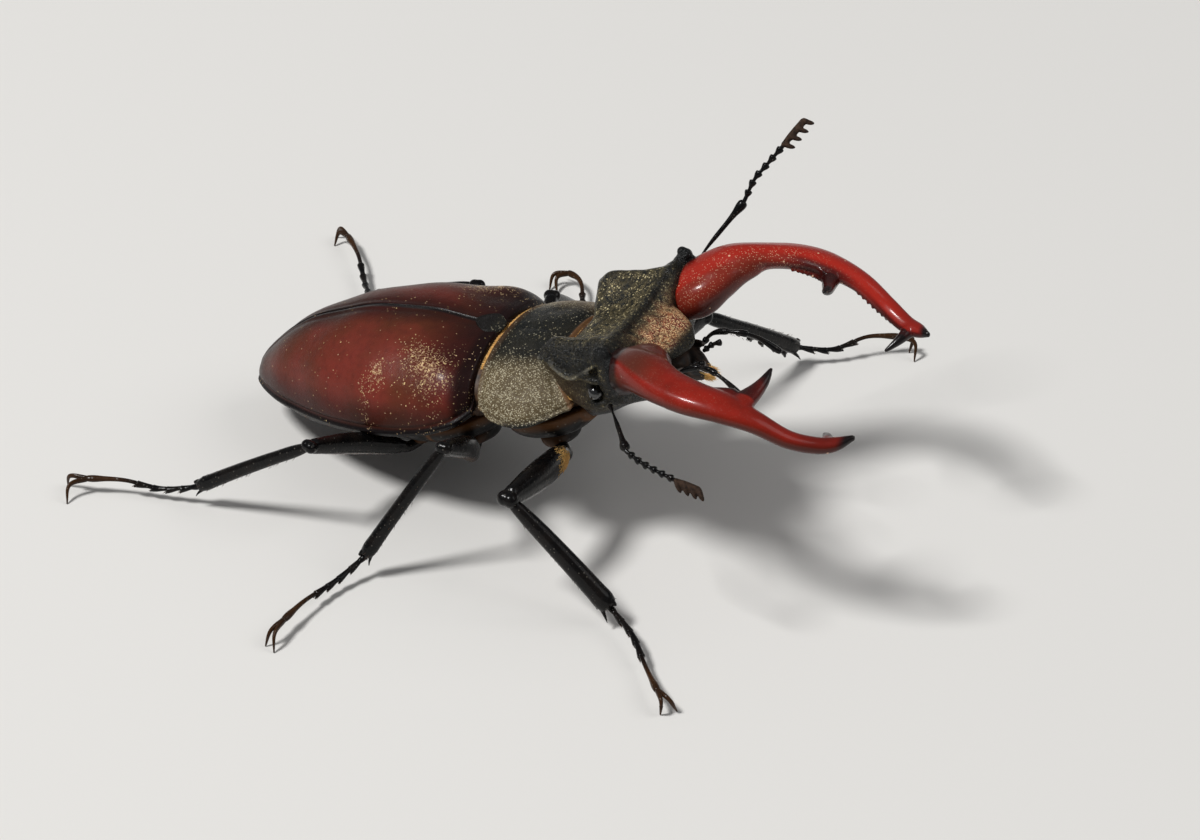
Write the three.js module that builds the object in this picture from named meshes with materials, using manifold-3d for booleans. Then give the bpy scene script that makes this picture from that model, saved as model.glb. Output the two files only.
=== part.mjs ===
// A large male stag beetle, Lucanus cervus, life size, standing on a flat floor with its head raised.
// Millimetres. +X points forward, +Y to the beetle's left and +Z up. The finished model's origin is
// the middle of its bounding box, at floor level.
//
// The trunk is drawn in a body frame: its origin lies on the middle line at the base of the wing
// cases, and it is pitched head up in the standing frame. The legs are drawn in the standing frame.

import * as THREE from 'three';
import { LoftGeometry } from 'three/addons/geometries/LoftGeometry.js';
import { mergeVertices } from 'three/addons/utils/BufferGeometryUtils.js';
import Module from 'manifold-3d';

const wasm = await Module();
wasm.setup();

// ---- Stance ----

const BODY_PITCH = THREE.MathUtils.degToRad(16);
const BODY_HEIGHT = 13;
const GAP = 0.3;

// ---- Wing cases: x, height of the back, half width, height of the outer margin ----

const ELYTRA_STATIONS = [
	[-26.6, -1.4, 0.7, -1.9],
	[-25.9, -0.1, 1.6, -2.0],
	[-23.4, 2.0, 3.6, -2.1],
	[-19.5, 3.9, 6.0, -2.3],
	[-15.5, 4.9, 7.9, -2.4],
	[-11.0, 5.3, 9.3, -2.4],
	[-6.5, 4.9, 10.0, -2.3],
	[-2.8, 4.0, 10.0, -1.9],
	[-0.6, 3.4, 9.3, -1.4],
	[0.2, 3.1, 8.5, -1.1],
];
const ELYTRON_SLICES = 13;
const ELYTRON_CROWDING = 1.3;
const ELYTRON_ARC_STEPS = 8;
const ELYTRON_FULLNESS = 2.35;
const SUTURE_WIDTH = 0.3;
const SCUTELLUM = { front: 0.3, back: -2.3, halfWidth: 1.6, tipHalfWidth: 0.3, floor: 1.6, top: 3.6 };

// ---- Pronotum: share of its length from the back, height, half width, margin height ----

const PRONOTUM_STATIONS = [
	[0.0, 2.6, 7.9, -0.6],
	[0.12, 2.8, 8.8, -1.1],
	[0.35, 3.0, 9.4, -1.7],
	[0.6, 3.0, 9.3, -1.8],
	[0.82, 2.7, 8.2, -1.5],
	[1.0, 2.1, 7.1, -1.1],
];
const PRONOTUM = { back: 0.75, front: 7.6, cornersForward: 2.2, cornersBack: 0.3 };
const PRONOTUM_FLOOR = { height: -2.1, share: 0.86 };
const PRONOTUM_SLICES = 9;
const PRONOTUM_ARC_STEPS = 14;
const PRONOTUM_FULLNESS = 2.1;

// ---- Underside of the trunk: x, half width, top, bottom ----

const PROTHORAX_STATIONS = [
	[1.7, 6.2, -2.35, -4.3],
	[3.4, 7.6, -2.35, -5.3],
	[6.0, 7.9, -2.35, -5.7],
	[8.2, 6.9, -2.35, -5.4],
	[9.5, 5.6, -2.35, -4.6],
];
const METATHORAX_STATIONS = [
	[-9.6, 7.5, -2.85, -5.5],
	[-6.0, 8.3, -2.85, -5.9],
	[-2.0, 8.0, -2.7, -5.7],
	[0.2, 6.6, -2.35, -4.9],
	[1.3, 5.2, -2.35, -4.1],
];
const ABDOMEN_STATIONS = [
	[-25.4, 1.0, -2.6, -3.1],
	[-23.6, 2.9, -2.65, -3.8],
	[-20.5, 4.9, -2.75, -4.7],
	[-16.5, 6.4, -2.85, -5.4],
	[-12.5, 7.3, -2.85, -5.7],
	[-9.9, 7.5, -2.85, -5.6],
];
const TRUNK_SLICES = 7;
const TRUNK_ARC_STEPS = 8;
const TRUNK_FULLNESS = 2.4;

// ---- Head: x, height of the middle line, crest above it, half width at the crest, at the cheek ----

const HEAD_STATIONS = [
	[8.5, 3.0, 1.3, 6.4, 7.0],
	[9.4, 3.2, 1.6, 7.5, 7.6],
	[11.2, 3.3, 1.4, 7.7, 8.2],
	[13.0, 3.7, 1.2, 7.8, 8.6],
	[14.3, 4.3, 0.9, 8.2, 8.8],
	[15.0, 3.9, 1.5, 8.6, 8.9],
	[15.6, 3.4, 1.6, 8.7, 8.8],
];
const HEAD_SLICES = 9;
const HEAD_ARC_STEPS = 12;
const HEAD_LOBES = { inner: 0.3, outer: 0.9, shoulder: 0.8, drop: 0.7 };
const HEAD_UNDERSIDE = { back: 10.1, rearHeight: -3.6, frontHeight: -2.6, halfWidth: 4.4 };
const CHEEK_HEIGHT = 0.7;
const JAW = { share: 0.88, height: -1.6 };
const CORNER_KNOB = { x: 15.4, y: 8.75, z: 5.1, radius: 0.8 };
const EYE = { x: 13.1, y: 8.35, z: 0.6, length: 1.1, width: 0.85, height: 0.95 };
const CLYPEUS_STATIONS = [
	[15.9, 4.0, 3.3, 0.5],
	[17.2, 3.6, 2.7, 0.4],
	[18.5, 2.8, 2.1, 0.3],
	[19.4, 1.9, 1.6, 0.3],
];
const SNOUT_FULLNESS = 3;
const MOUTH_STATIONS = [
	[15.9, 3.6, 0.2, -2.7],
	[17.3, 3.0, 0.0, -2.9],
	[18.5, 2.0, -0.5, -2.9],
	[19.5, 0.9, -1.5, -2.7],
];

// ---- Mandibles (left one): x, y, z of the middle, half width, half height ----

const MANDIBLE_STATIONS = [
	[15.9, 6.9, 2.4, 2.4, 2.1],
	[17.6, 7.9, 3.2, 2.35, 1.95],
	[19.6, 9.5, 3.8, 2.2, 1.65],
	[22.2, 11.1, 3.45, 1.95, 1.2],
	[25.0, 11.9, 2.8, 1.85, 1.1],
	[27.7, 11.9, 1.9, 1.7, 1.0],
	[30.2, 11.7, 0.4, 1.2, 0.85],
	[32.4, 11.1, -1.6, 0.95, 0.75],
	[34.3, 10.1, -2.8, 0.85, 0.7],
	[35.7, 9.4, -3.1, 0.75, 0.6],
	[37.0, 8.6, -3.0, 0.25, 0.3],
];
const MANDIBLE_SLICES = 15;
const MANDIBLE_SIDES = 9;
const MEDIAN_TOOTH = { path: [[28.1, 10.9, 1.7], [29.1, 8.4, 1.8], [29.9, 6.4, 2.5]], radius: 1.0 };
const APICAL_TOOTH = { path: [[35.0, 9.6, -3.0], [34.5, 8.1, -3.3], [33.5, 6.9, -3.7]], radius: 0.55 };
const DENTICLES = [
	{ from: 0.5, to: 0.57, count: 3, length: 0.55 },
	{ from: 0.67, to: 0.84, count: 5, length: 0.6 },
];
const DENTICLE_RADIUS = 0.26;

// ---- Palps (left ones) and antennae, in the body frame ----

const MAXILLARY_PALP = [
	[17.9, 3.2, -0.9],
	[19.3, 3.2, 0.3],
	[21.6, 3.1, 0.5],
	[23.0, 3.5, -0.1],
	[25.1, 4.0, -2.1],
];
const LABIAL_PALP = [[18.95, 1.5, -0.5], [20.0, 1.7, 0.1], [20.8, 1.9, 0.2]];
const PALP = { thick: 0.32, waist: 0.25 };

const ANTENNAE = {
	left: {
		scape: [[15.1, 9.25, 3.1], [16.3, 10.8, 4.5], [18.0, 12.5, 6.1], [19.5, 14.1, 7.5]],
		funicle: [[19.65, 14.35, 7.75], [20.4, 15.5, 9.1], [21.1, 16.3, 9.7], [22.3, 17.5, 10.7]],
		club: [[22.5, 17.75, 10.95], [24.4, 19.6, 12.6]],
		lamellaLean: [0.75, 0.15, -0.65],
	},
	right: {
		scape: [[15.1, -9.25, 0.5], [16.6, -11.3, -0.1], [18.5, -14.0, -1.0]],
		funicle: [[18.8, -14.2, -1.3], [20.0, -14.6, -1.9], [21.2, -14.8, -2.5], [22.6, -14.9, -3.2]],
		club: [[22.9, -14.9, -3.4], [25.2, -15.0, -4.4]],
		lamellaLean: [0.3, -0.6, -0.75],
	},
};
const SCAPE = { root: 0.27, end: 0.44 };
const FUNICLE_SEGMENTS = 6;
const FUNICLE = { thick: 0.36, waist: 0.26 };
const CLUB_LAMELLAE = 4;
const CLUB_RADIUS = 0.3;
const LAMELLA = { length: 0.85, first: 0.1, last: 0.95, rootWidth: 0.84, tipWidth: 0.5, thickness: 0.5 };

// ---- Legs, in the standing frame: femur path from hip to knee, ankle, tarsus path, claw tips ----

const LEGS = {
	front_left: {
		femur: [[8.0, 6.0, 8.6], [9.7, 11.2, 9.7], [11.6, 16.8, 10.3]],
		ankle: [16.8, 27.2, 2.0],
		tarsus: [[19.7, 29.0, 1.5], [22.3, 31.4, 2.2], [24.9, 33.3, 1.8]],
		claws: [[26.7, 32.3], [25.7, 33.5]],
	},
	front_right: {
		femur: [[8.5, -5.9, 8.7], [8.7, -10.8, 9.9], [8.1, -16.4, 10.5]],
		ankle: [18.0, -16.6, 1.9],
		tarsus: [[20.9, -18.8, 1.7], [23.6, -21.9, 1.3], [26.1, -24.9, 1.6]],
		claws: [[26.8, -25.9], [27.9, -24.9]],
	},
	middle_left: {
		femur: [[-0.6, 5.9, 5.8], [-1.7, 10.5, 7.8], [-2.9, 15.3, 9.3]],
		ankle: [-3.4, 23.6, 2.1],
		tarsus: [[-5.0, 26.4, 1.4], [-7.3, 30.0, 1.5], [-8.6, 30.6, 1.4]],
		claws: [[-9.7, 28.8], [-8.7, 28.4]],
	},
	middle_right: {
		femur: [[-0.6, -5.9, 5.8], [1.0, -10.2, 9.8], [1.1, -14.6, 12.6]],
		ankle: [-4.7, -19.3, 2.1],
		tarsus: [[-5.8, -22.0, 1.3], [-6.9, -26.6, 1.5], [-7.2, -29.5, 1.5]],
		claws: [[-7.8, -31.7], [-6.7, -32.2]],
	},
	hind_left: {
		femur: [[-7.0, 6.0, 4.8], [-9.0, 10.6, 6.2], [-11.0, 16.0, 7.8]],
		ankle: [-23.4, 18.0, 1.9],
		tarsus: [[-25.5, 20.8, 1.3], [-28.4, 24.8, 1.6], [-30.9, 27.5, 1.4]],
		claws: [[-32.8, 28.5], [-32.2, 27.1]],
	},
	hind_right: {
		femur: [[-7.0, -6.0, 4.8], [-9.6, -9.6, 6.7], [-11.8, -15.4, 9.4]],
		ankle: [-23.2, -16.1, 2.0],
		tarsus: [[-26.5, -16.7, 1.2], [-30.0, -17.5, 1.6], [-33.3, -18.6, 1.5]],
		claws: [[-35.3, -18.5], [-33.9, -21.0]],
	},
};
const LEG_SHAPES = {
	front: {
		thighHeight: 2.8, thighWidth: 2.2, kneeWidth: 1.24, ankleWidth: 1.9, kneeGap: 0.97,
		swell: 1.4, toothSide: -1, teeth: 4,
	},
	middle: {
		thighHeight: 1.9, thighWidth: 1.6, kneeWidth: 0.96, ankleWidth: 1.25, kneeGap: 0.77,
		swell: 3, toothSide: 1, teeth: 3,
	},
	hind: {
		thighHeight: 1.7, thighWidth: 1.5, kneeWidth: 0.94, ankleWidth: 1.2, kneeGap: 0.72,
		swell: 3, toothSide: 1, teeth: 3,
	},
};
const COXAE = {
	front: { x: 5.7, y: 3.5, z: -5.4, length: 1.7, width: 2.5, height: 1.35 },
	middle: { x: -2.3, y: 3.6, z: -5.3, length: 1.6, width: 2.3, height: 1.2 },
	hind: { x: -8.0, y: 3.4, z: -5.4, length: 1.4, width: 2.4, height: 1.1 },
};
const FEMUR_SWELL = [[0, 0.45], [0.12, 0.75], [0.4, 1], [0.72, 0.92], [0.92, 0.74], [1, 0.45]];
const TIBIA_FLATNESS = 0.8;
const TIBIA_TOOTH = { first: 0.45, last: 0.9, length: 0.65, radius: 0.3 };
const ANKLE_SPUR = { length: 1.4, radius: 0.27 };
const TARSOMERE_ENDS = [0.16, 0.29, 0.42, 0.56, 1];
const TARSOMERE_WAIST = 0.012;
const TARSUS = { narrow: 0.27, wide: 0.4, flatness: 0.85 };
const CLAW = { radius: 0.27, tipRadius: 0.09, bow: 0.6, rise: 0.9 };
const SPIKE_BLUNTNESS = 0.2;
const LIMB_SIDES = 8;
const FINE_SIDES = 6;
const SPINE_SIDES = 4;
const FEELER_SIDES = 5;

// ---- Materials ----

const FINISHES = {
	elytra: { color: 0x4a1512, roughness: 0.35, metalness: 0 },
	pronotum: { color: 0x1d1b18, roughness: 0.6, metalness: 0 },
	underside: { color: 0x17120f, roughness: 0.5, metalness: 0 },
	head: { color: 0x24221c, roughness: 0.7, metalness: 0 },
	mandible: { color: 0x7a1712, roughness: 0.2, metalness: 0 },
	eye: { color: 0x0a0908, roughness: 0.1, metalness: 0 },
	mouth: { color: 0x8a5a1c, roughness: 0.8, metalness: 0 },
	limb: { color: 0x0f0d0d, roughness: 0.25, metalness: 0 },
	club: { color: 0x2b1c14, roughness: 0.8, metalness: 0 },
};

// ---- General helpers ----

/** A point from its three coordinates; a point already made is copied. */
const vec = (p) => (p.isVector3 ? p.clone() : new THREE.Vector3(...p));
const lerp = THREE.MathUtils.lerp;

/** A smooth function through a table: the first column is the place, the others are the values. */
function smoothTable(rows) {
	const places = rows.map((row) => row[0]);
	const values = rows.flatMap((row) => row.slice(1));
	const width = rows[0].length - 1;
	const spline = new THREE.CubicInterpolant(places, values, width, new Float64Array(width));
	return (place) => [...spline.evaluate(place)];
}

/** Evenly spaced numbers from start to end, both included. */
function span(start, end, steps) {
	return Array.from({ length: steps + 1 }, (_, i) => lerp(start, end, i / steps));
}

/** A plain copy of a shape: positions only, with shared corners merged. */
function merged(geometry) {
	const bare = new THREE.BufferGeometry();
	bare.setAttribute('position', geometry.getAttribute('position'));
	bare.setIndex(geometry.getIndex());
	return mergeVertices(bare);
}

/** A closed loft through rings of points, capped at both ends. */
function loft(rings) {
	return merged(new LoftGeometry(rings, { capStart: true, capEnd: true }));
}

/** Cosine and sine of an angle, drawn out towards a rounded square as the fullness grows past 2. */
function rounded(angle, fullness) {
	const full = (value) => Math.sign(value) * Math.abs(value) ** (2 / fullness);
	return [full(Math.cos(angle)), full(Math.sin(angle))];
}

/** Ring of points round a centre; side × up has to point along the loft. */
function ring(centre, side, up, sides, fullness = 2) {
	return Array.from({ length: sides }, (_, i) => {
		const [across, height] = rounded((i / sides) * 2 * Math.PI, fullness);
		return centre.clone().addScaledVector(side, across).addScaledVector(up, height);
	});
}

/** Rings across a path; radii(t) gives the half width and half height at a share t of it. */
function ringsAlong(path, radii, shares, sides, up = new THREE.Vector3(0, 0, 1)) {
	return shares.map((t) => {
		const along = path.getTangentAt(t);
		const upright = up.clone().addScaledVector(along, -up.dot(along)).normalize();
		const across = upright.clone().cross(along);
		const [halfWidth, halfHeight] = radii(t);
		const centre = path.getPointAt(t);
		return ring(centre, across.multiplyScalar(halfWidth), upright.multiplyScalar(halfHeight), sides);
	});
}

function smoothPath(points) {
	return new THREE.CatmullRomCurve3(points.map(vec));
}

/** A rounded limb through points; radii(t) gives its half width and half height at a share t of it. */
function limb(points, radii, steps, sides = LIMB_SIDES) {
	return loft(ringsAlong(smoothPath(points), radii, span(0, 1, steps), sides));
}

/** A tapering spike from its root to its blunt tip. */
function spike(points, radius, steps, sides = FINE_SIDES) {
	const radii = (t) => {
		const r = lerp(radius, radius * SPIKE_BLUNTNESS, t);
		return [r, r];
	};
	return limb(points, radii, steps, sides);
}

/** The same closed shape on the other side of the beetle. */
function mirrored(geometry) {
	const copy = geometry.clone().scale(1, -1, 1);
	const index = copy.getIndex().array;
	for (let i = 0; i < index.length; i += 3) {
		[index[i], index[i + 1]] = [index[i + 1], index[i]];
	}
	return copy;
}

/** A squashed ball, closed at its poles. */
function ellipsoid({ x, y, z, length, width, height }, grow, columns, rows) {
	return new THREE.SphereGeometry(1, columns, rows)
		.scale(length + grow, width + grow, height + grow)
		.translate(x, y, z);
}

// ---- Joining and cutting closed shapes ----

function toSolid(geometry) {
	const shared = merged(geometry);
	const index = Array.from(shared.getIndex().array);
	const triangles = [];
	for (let i = 0; i < index.length; i += 3) {
		const [a, b, c] = index.slice(i, i + 3);
		if (a !== b && b !== c && c !== a) {
			triangles.push(a, b, c);
		}
	}
	return new wasm.Manifold(new wasm.Mesh({
		numProp: 3,
		vertProperties: shared.getAttribute('position').array,
		triVerts: Uint32Array.from(triangles),
	}));
}

function toGeometry(solid) {
	const mesh = solid.getMesh();
	const geometry = new THREE.BufferGeometry();
	geometry.setAttribute('position', new THREE.BufferAttribute(mesh.vertProperties, 3));
	geometry.setIndex(new THREE.BufferAttribute(mesh.triVerts, 1));
	geometry.computeVertexNormals();
	return geometry;
}

function joined(...geometries) {
	return toGeometry(geometries.map(toSolid).reduce((whole, piece) => whole.add(piece)));
}

function cut(geometry, ...tools) {
	return toGeometry(tools.map(toSolid).reduce((rest, tool) => rest.subtract(tool), toSolid(geometry)));
}

// ---- Trunk ----

function elytronLeft() {
	const shape = smoothTable(ELYTRA_STATIONS);
	const tail = ELYTRA_STATIONS[0][0];
	const base = ELYTRA_STATIONS.at(-1)[0];
	const inner = SUTURE_WIDTH / 2;
	const rings = span(0, 1, ELYTRON_SLICES).map((t) => {
		const x = lerp(tail, base, t ** ELYTRON_CROWDING);
		const [top, halfWidth, margin] = shape(x);
		const back = span(0, Math.PI / 2, ELYTRON_ARC_STEPS).map((angle) => {
			const [across, up] = rounded(angle, ELYTRON_FULLNESS);
			return new THREE.Vector3(x, lerp(inner, halfWidth, across), lerp(margin, top, up));
		});
		const underside = new THREE.Vector3(x, inner, margin);
		return [...back, underside];
	});
	return loft(rings);
}

function scutellumPlate(grow = 0) {
	const { front, back, halfWidth, tipHalfWidth, floor, top } = SCUTELLUM;
	const outline = new THREE.Shape();
	outline.moveTo(front + grow, -halfWidth - grow);
	outline.lineTo(front + grow, halfWidth + grow);
	outline.quadraticCurveTo((front + back) / 2, halfWidth + grow, back - grow, tipHalfWidth + grow);
	outline.lineTo(back - grow, -tipHalfWidth - grow);
	outline.quadraticCurveTo((front + back) / 2, -halfWidth - grow, front + grow, -halfWidth - grow);
	const depth = top - floor + 2 * grow;
	const plate = new THREE.ExtrudeGeometry(outline, { depth, bevelEnabled: false, curveSegments: 5 });
	plate.translate(0, 0, floor - grow);
	return mergeVertices(plate.deleteAttribute('normal').deleteAttribute('uv'));
}

function pronotum() {
	const shape = smoothTable(PRONOTUM_STATIONS);
	const { back, front, cornersForward, cornersBack } = PRONOTUM;
	const rings = span(0, 1, PRONOTUM_SLICES).map((t) => {
		const [top, halfWidth, margin] = shape(t);
		const place = (across, z) => {
			const rear = back + cornersBack * across ** 2;
			const fore = front + cornersForward * across ** 4;
			return new THREE.Vector3(lerp(rear, fore, t), across * halfWidth, z);
		};
		const over = span(0, Math.PI, PRONOTUM_ARC_STEPS).map((angle) => {
			const [across, up] = rounded(angle, PRONOTUM_FULLNESS);
			return place(across, lerp(margin, top, up));
		});
		const { height, share } = PRONOTUM_FLOOR;
		const under = span(-share, share, 4).map((across) => place(across, height));
		return [...over, ...under];
	});
	return loft(rings);
}

/** A boat-shaped underside: flat on top, rounded below. */
function hull(stations) {
	const shape = smoothTable(stations);
	const rings = span(stations[0][0], stations.at(-1)[0], TRUNK_SLICES).map((x) => {
		const [halfWidth, top, bottom] = shape(x);
		return span(-Math.PI, 0, TRUNK_ARC_STEPS).map((angle) => {
			const [across, up] = rounded(angle, TRUNK_FULLNESS);
			return new THREE.Vector3(x, across * halfWidth, lerp(top, bottom, -up));
		});
	});
	return loft(rings);
}

function coxa(pair, side, grow = 0) {
	const place = COXAE[pair];
	return ellipsoid({ ...place, y: place.y * side }, grow, 8, 4);
}

function coxaPair(pair, grow) {
	return [coxa(pair, 1, grow), coxa(pair, -1, grow)];
}

// ---- Head ----

function headCapsule() {
	const shape = smoothTable(HEAD_STATIONS);
	const rear = HEAD_STATIONS[0][0];
	const front = HEAD_STATIONS.at(-1)[0];
	const rings = span(0, 1, HEAD_SLICES).map((t) => {
		const x = lerp(rear, front, t);
		const lower = lerp(HEAD_UNDERSIDE.back, front, t);
		const [middle, crest, crestHalf, cheekHalf] = shape(x);
		const roof = span(1, -1, HEAD_ARC_STEPS).map((across) => {
			const side = Math.abs(across);
			const lobes = THREE.MathUtils.smoothstep(side, HEAD_LOBES.inner, HEAD_LOBES.outer);
			const edge = Math.max(0, side - HEAD_LOBES.shoulder) / (1 - HEAD_LOBES.shoulder);
			const height = middle + crest * lobes - HEAD_LOBES.drop * edge;
			return new THREE.Vector3(x, across * crestHalf, height);
		});
		const jaw = cheekHalf * JAW.share;
		const { rearHeight, frontHeight, halfWidth } = HEAD_UNDERSIDE;
		const height = lerp(rearHeight, frontHeight, t);
		const midway = (x + lower) / 2;
		const lowerRing = [
			[midway, -cheekHalf, CHEEK_HEIGHT],
			[lower, -jaw, JAW.height],
			[lower, -halfWidth, height],
			[lower, 0, height],
			[lower, halfWidth, height],
			[lower, jaw, JAW.height],
			[midway, cheekHalf, CHEEK_HEIGHT],
		];
		return [...roof, ...lowerRing.map(vec)];
	});
	return loft(rings);
}

function cornerKnob(side) {
	const { x, y, z, radius } = CORNER_KNOB;
	return ellipsoid({ x, y: y * side, z, length: radius, width: radius, height: radius }, 0, 6, 5);
}

function eyeBall(side, grow = 0) {
	return ellipsoid({ ...EYE, y: EYE.y * side }, grow, 8, 5);
}

function head() {
	const capsule = joined(headCapsule(), cornerKnob(1), cornerKnob(-1));
	return cut(capsule, eyeBall(1, GAP / 2), eyeBall(-1, GAP / 2));
}

/** A short lobe that narrows forward, rounded across: x, half width, top, bottom. */
function snout(stations) {
	const shape = smoothTable(stations);
	const rings = span(stations[0][0], stations.at(-1)[0], 4).map((x) => {
		const [halfWidth, top, bottom] = shape(x);
		const centre = new THREE.Vector3(x, 0, (top + bottom) / 2);
		const side = new THREE.Vector3(0, halfWidth, 0);
		return ring(centre, side, new THREE.Vector3(0, 0, (top - bottom) / 2), 12, SNOUT_FULLNESS);
	});
	return loft(rings);
}

/** The left mandible: a curved horn with a tooth in its middle, a fork at its tip and denticles. */
function mandibleLeft() {
	const path = smoothPath(MANDIBLE_STATIONS.map((row) => row.slice(0, 3)));
	const last = MANDIBLE_STATIONS.length - 1;
	const radii = smoothTable(MANDIBLE_STATIONS.map((row, i) => [i / last, row[3], row[4]]));
	const shares = span(0, 1, MANDIBLE_SLICES);
	const rings = shares.map((u, i) => {
		const centre = path.getPoint(u);
		const along = i === 0 ? new THREE.Vector3(1, 0, 0) : path.getTangent(u);
		const up = new THREE.Vector3(0, 0, 1).addScaledVector(along, -along.z).normalize();
		const across = up.clone().cross(along);
		const [halfWidth, halfHeight] = radii(u);
		return ring(centre, across.multiplyScalar(halfWidth), up.multiplyScalar(halfHeight), MANDIBLE_SIDES);
	});
	const teeth = [MEDIAN_TOOTH, APICAL_TOOTH].map((tooth) => spike(tooth.path, tooth.radius, 3));
	const denticles = DENTICLES.flatMap(({ from, to, count, length }) => span(from, to, count - 1).map((u) => {
		const centre = path.getPoint(u);
		const inward = new THREE.Vector3(0, 0, 1).cross(path.getTangent(u)).negate().normalize();
		const edge = centre.clone().addScaledVector(inward, radii(u)[0]);
		const root = edge.clone().addScaledVector(inward, -DENTICLE_RADIUS);
		const tip = edge.addScaledVector(inward, length);
		return spike([root, tip], DENTICLE_RADIUS, 1, SPINE_SIDES);
	}));
	return joined(loft(rings), ...teeth, ...denticles);
}

/** A beaded feeler: beads joined end to end by narrower waists. */
function beadedLimb(points, beads, { thick, waist }) {
	const swell = [waist, thick, thick];
	const radii = (t) => {
		const r = swell[Math.round(t * beads * swell.length) % swell.length];
		return [r, r];
	};
	return limb(points, radii, beads * swell.length, FEELER_SIDES);
}

// ---- Antennae ----

function scape(points) {
	const radii = (t) => {
		const r = lerp(SCAPE.root, SCAPE.end, t ** 3);
		return [r, r];
	};
	return limb(points, radii, 6, FINE_SIDES);
}

/** The club: a short stem with a row of plates that lean out on one side. */
function club(points, lean) {
	const path = smoothPath(points);
	const stem = limb(points, () => [CLUB_RADIUS, CLUB_RADIUS], 2, FINE_SIDES);
	const outward = vec(lean).normalize();
	const { length, first, last, rootWidth, tipWidth, thickness } = LAMELLA;
	const plates = span(first, last, CLUB_LAMELLAE - 1).map((t) => {
		const root = path.getPointAt(t);
		const tip = root.clone().addScaledVector(outward, length);
		const radii = (share) => [lerp(rootWidth, tipWidth, share) / 2, thickness / 2];
		return loft(ringsAlong(smoothPath([root, tip]), radii, [0, 1], FINE_SIDES, path.getTangentAt(t)));
	});
	return joined(stem, ...plates);
}

// ---- Legs ----

function femur(leg, { thighHeight, thighWidth }) {
	const swell = smoothTable(FEMUR_SWELL);
	const radii = (t) => [thighWidth / 2 * swell(t)[0], thighHeight / 2 * swell(t)[0]];
	const shares = FEMUR_SWELL.map((row) => row[0]);
	return loft(ringsAlong(smoothPath(leg.femur), radii, shares, LIMB_SIDES));
}

/** A shank that widens to its end, with a row of teeth on one edge and two spurs at its end. */
function tibia(leg, { kneeWidth, ankleWidth, kneeGap, swell, toothSide, teeth }) {
	const knee = vec(leg.femur.at(-1));
	const ankle = vec(leg.ankle);
	const along = ankle.clone().sub(knee).normalize();
	const up = new THREE.Vector3(0, 0, 1).addScaledVector(along, -along.z).normalize();
	const across = up.clone().cross(along);
	const start = knee.addScaledVector(along, kneeGap);
	const end = ankle.addScaledVector(along, -GAP);
	const half = (t) => lerp(kneeWidth, ankleWidth, t ** swell) / 2;
	const shaft = limb([start, end], (t) => [half(t) * TIBIA_FLATNESS, half(t)], 4, FINE_SIDES);

	const { first, last, length, radius } = TIBIA_TOOTH;
	const edge = up.clone().multiplyScalar(toothSide);
	const outward = edge.clone().add(along).normalize();
	const edgeTeeth = span(first, last, teeth - 1).map((t) => {
		const root = start.clone().lerp(end, t).addScaledVector(edge, half(t) - radius);
		const tip = root.clone().addScaledVector(outward, length + radius);
		return spike([root, tip], radius, 1, SPINE_SIDES);
	});
	const spurs = [-1, 1].map((side) => {
		const spread = across.clone().multiplyScalar(side).sub(up).multiplyScalar(ankleWidth / 4);
		const root = end.clone().add(spread).addScaledVector(along, -ANKLE_SPUR.radius);
		const tip = root.clone().addScaledVector(along, ANKLE_SPUR.length).add(spread);
		return spike([root, tip], ANKLE_SPUR.radius, 1, SPINE_SIDES);
	});
	return joined(shaft, ...edgeTeeth, ...spurs);
}

/** Five short foot joints, each narrow at its root and wide towards its end. */
function footJoints(path) {
	const { narrow, wide, flatness } = TARSUS;
	const start = GAP / path.getLength();
	const starts = [start, ...TARSOMERE_ENDS.slice(0, -1).map((end) => end + TARSOMERE_WAIST)];
	const profile = TARSOMERE_ENDS.flatMap((end, i) => [
		[starts[i], narrow],
		[lerp(starts[i], end, 0.75), wide],
		[end, narrow],
	]);
	const halfWidths = new Map(profile);
	const radii = (t) => [halfWidths.get(t), halfWidths.get(t) * flatness];
	return loft(ringsAlong(path, radii, profile.map((row) => row[0]), FEELER_SIDES));
}

/** A claw that arches from the last foot joint to the floor; its last ring lies flat on it. */
function claw(end, forward, [x, y]) {
	const root = end.clone().addScaledVector(forward, -CLAW.radius);
	const tip = new THREE.Vector3(x, y, 0);
	const bend = end.clone().lerp(tip, 0.5).addScaledVector(forward, CLAW.bow).setZ(end.z * CLAW.rise);
	const radii = (t) => {
		const r = lerp(CLAW.radius, CLAW.tipRadius, t);
		return [r, r];
	};
	const rings = ringsAlong(smoothPath([root, bend, tip]), radii, span(0, 1, 3), SPINE_SIDES);
	rings.at(-1).forEach((point) => point.setZ(0));
	return loft(rings);
}

function tarsus(leg) {
	const path = smoothPath([leg.ankle, ...leg.tarsus]);
	const end = path.getPointAt(1);
	const forward = path.getTangentAt(1).setZ(0).normalize();
	const claws = leg.claws.map((tip) => claw(end, forward, tip));
	return joined(footJoints(path), ...claws);
}

// ---- Assembly ----

const beetle = new THREE.Group();
const body = new THREE.Group();
body.rotation.y = -BODY_PITCH;
body.position.z = BODY_HEIGHT;
beetle.add(body);

function place(group, name, geometry, finish) {
	const mesh = new THREE.Mesh(geometry, new THREE.MeshStandardMaterial(FINISHES[finish]));
	mesh.name = name;
	group.add(mesh);
}

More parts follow.
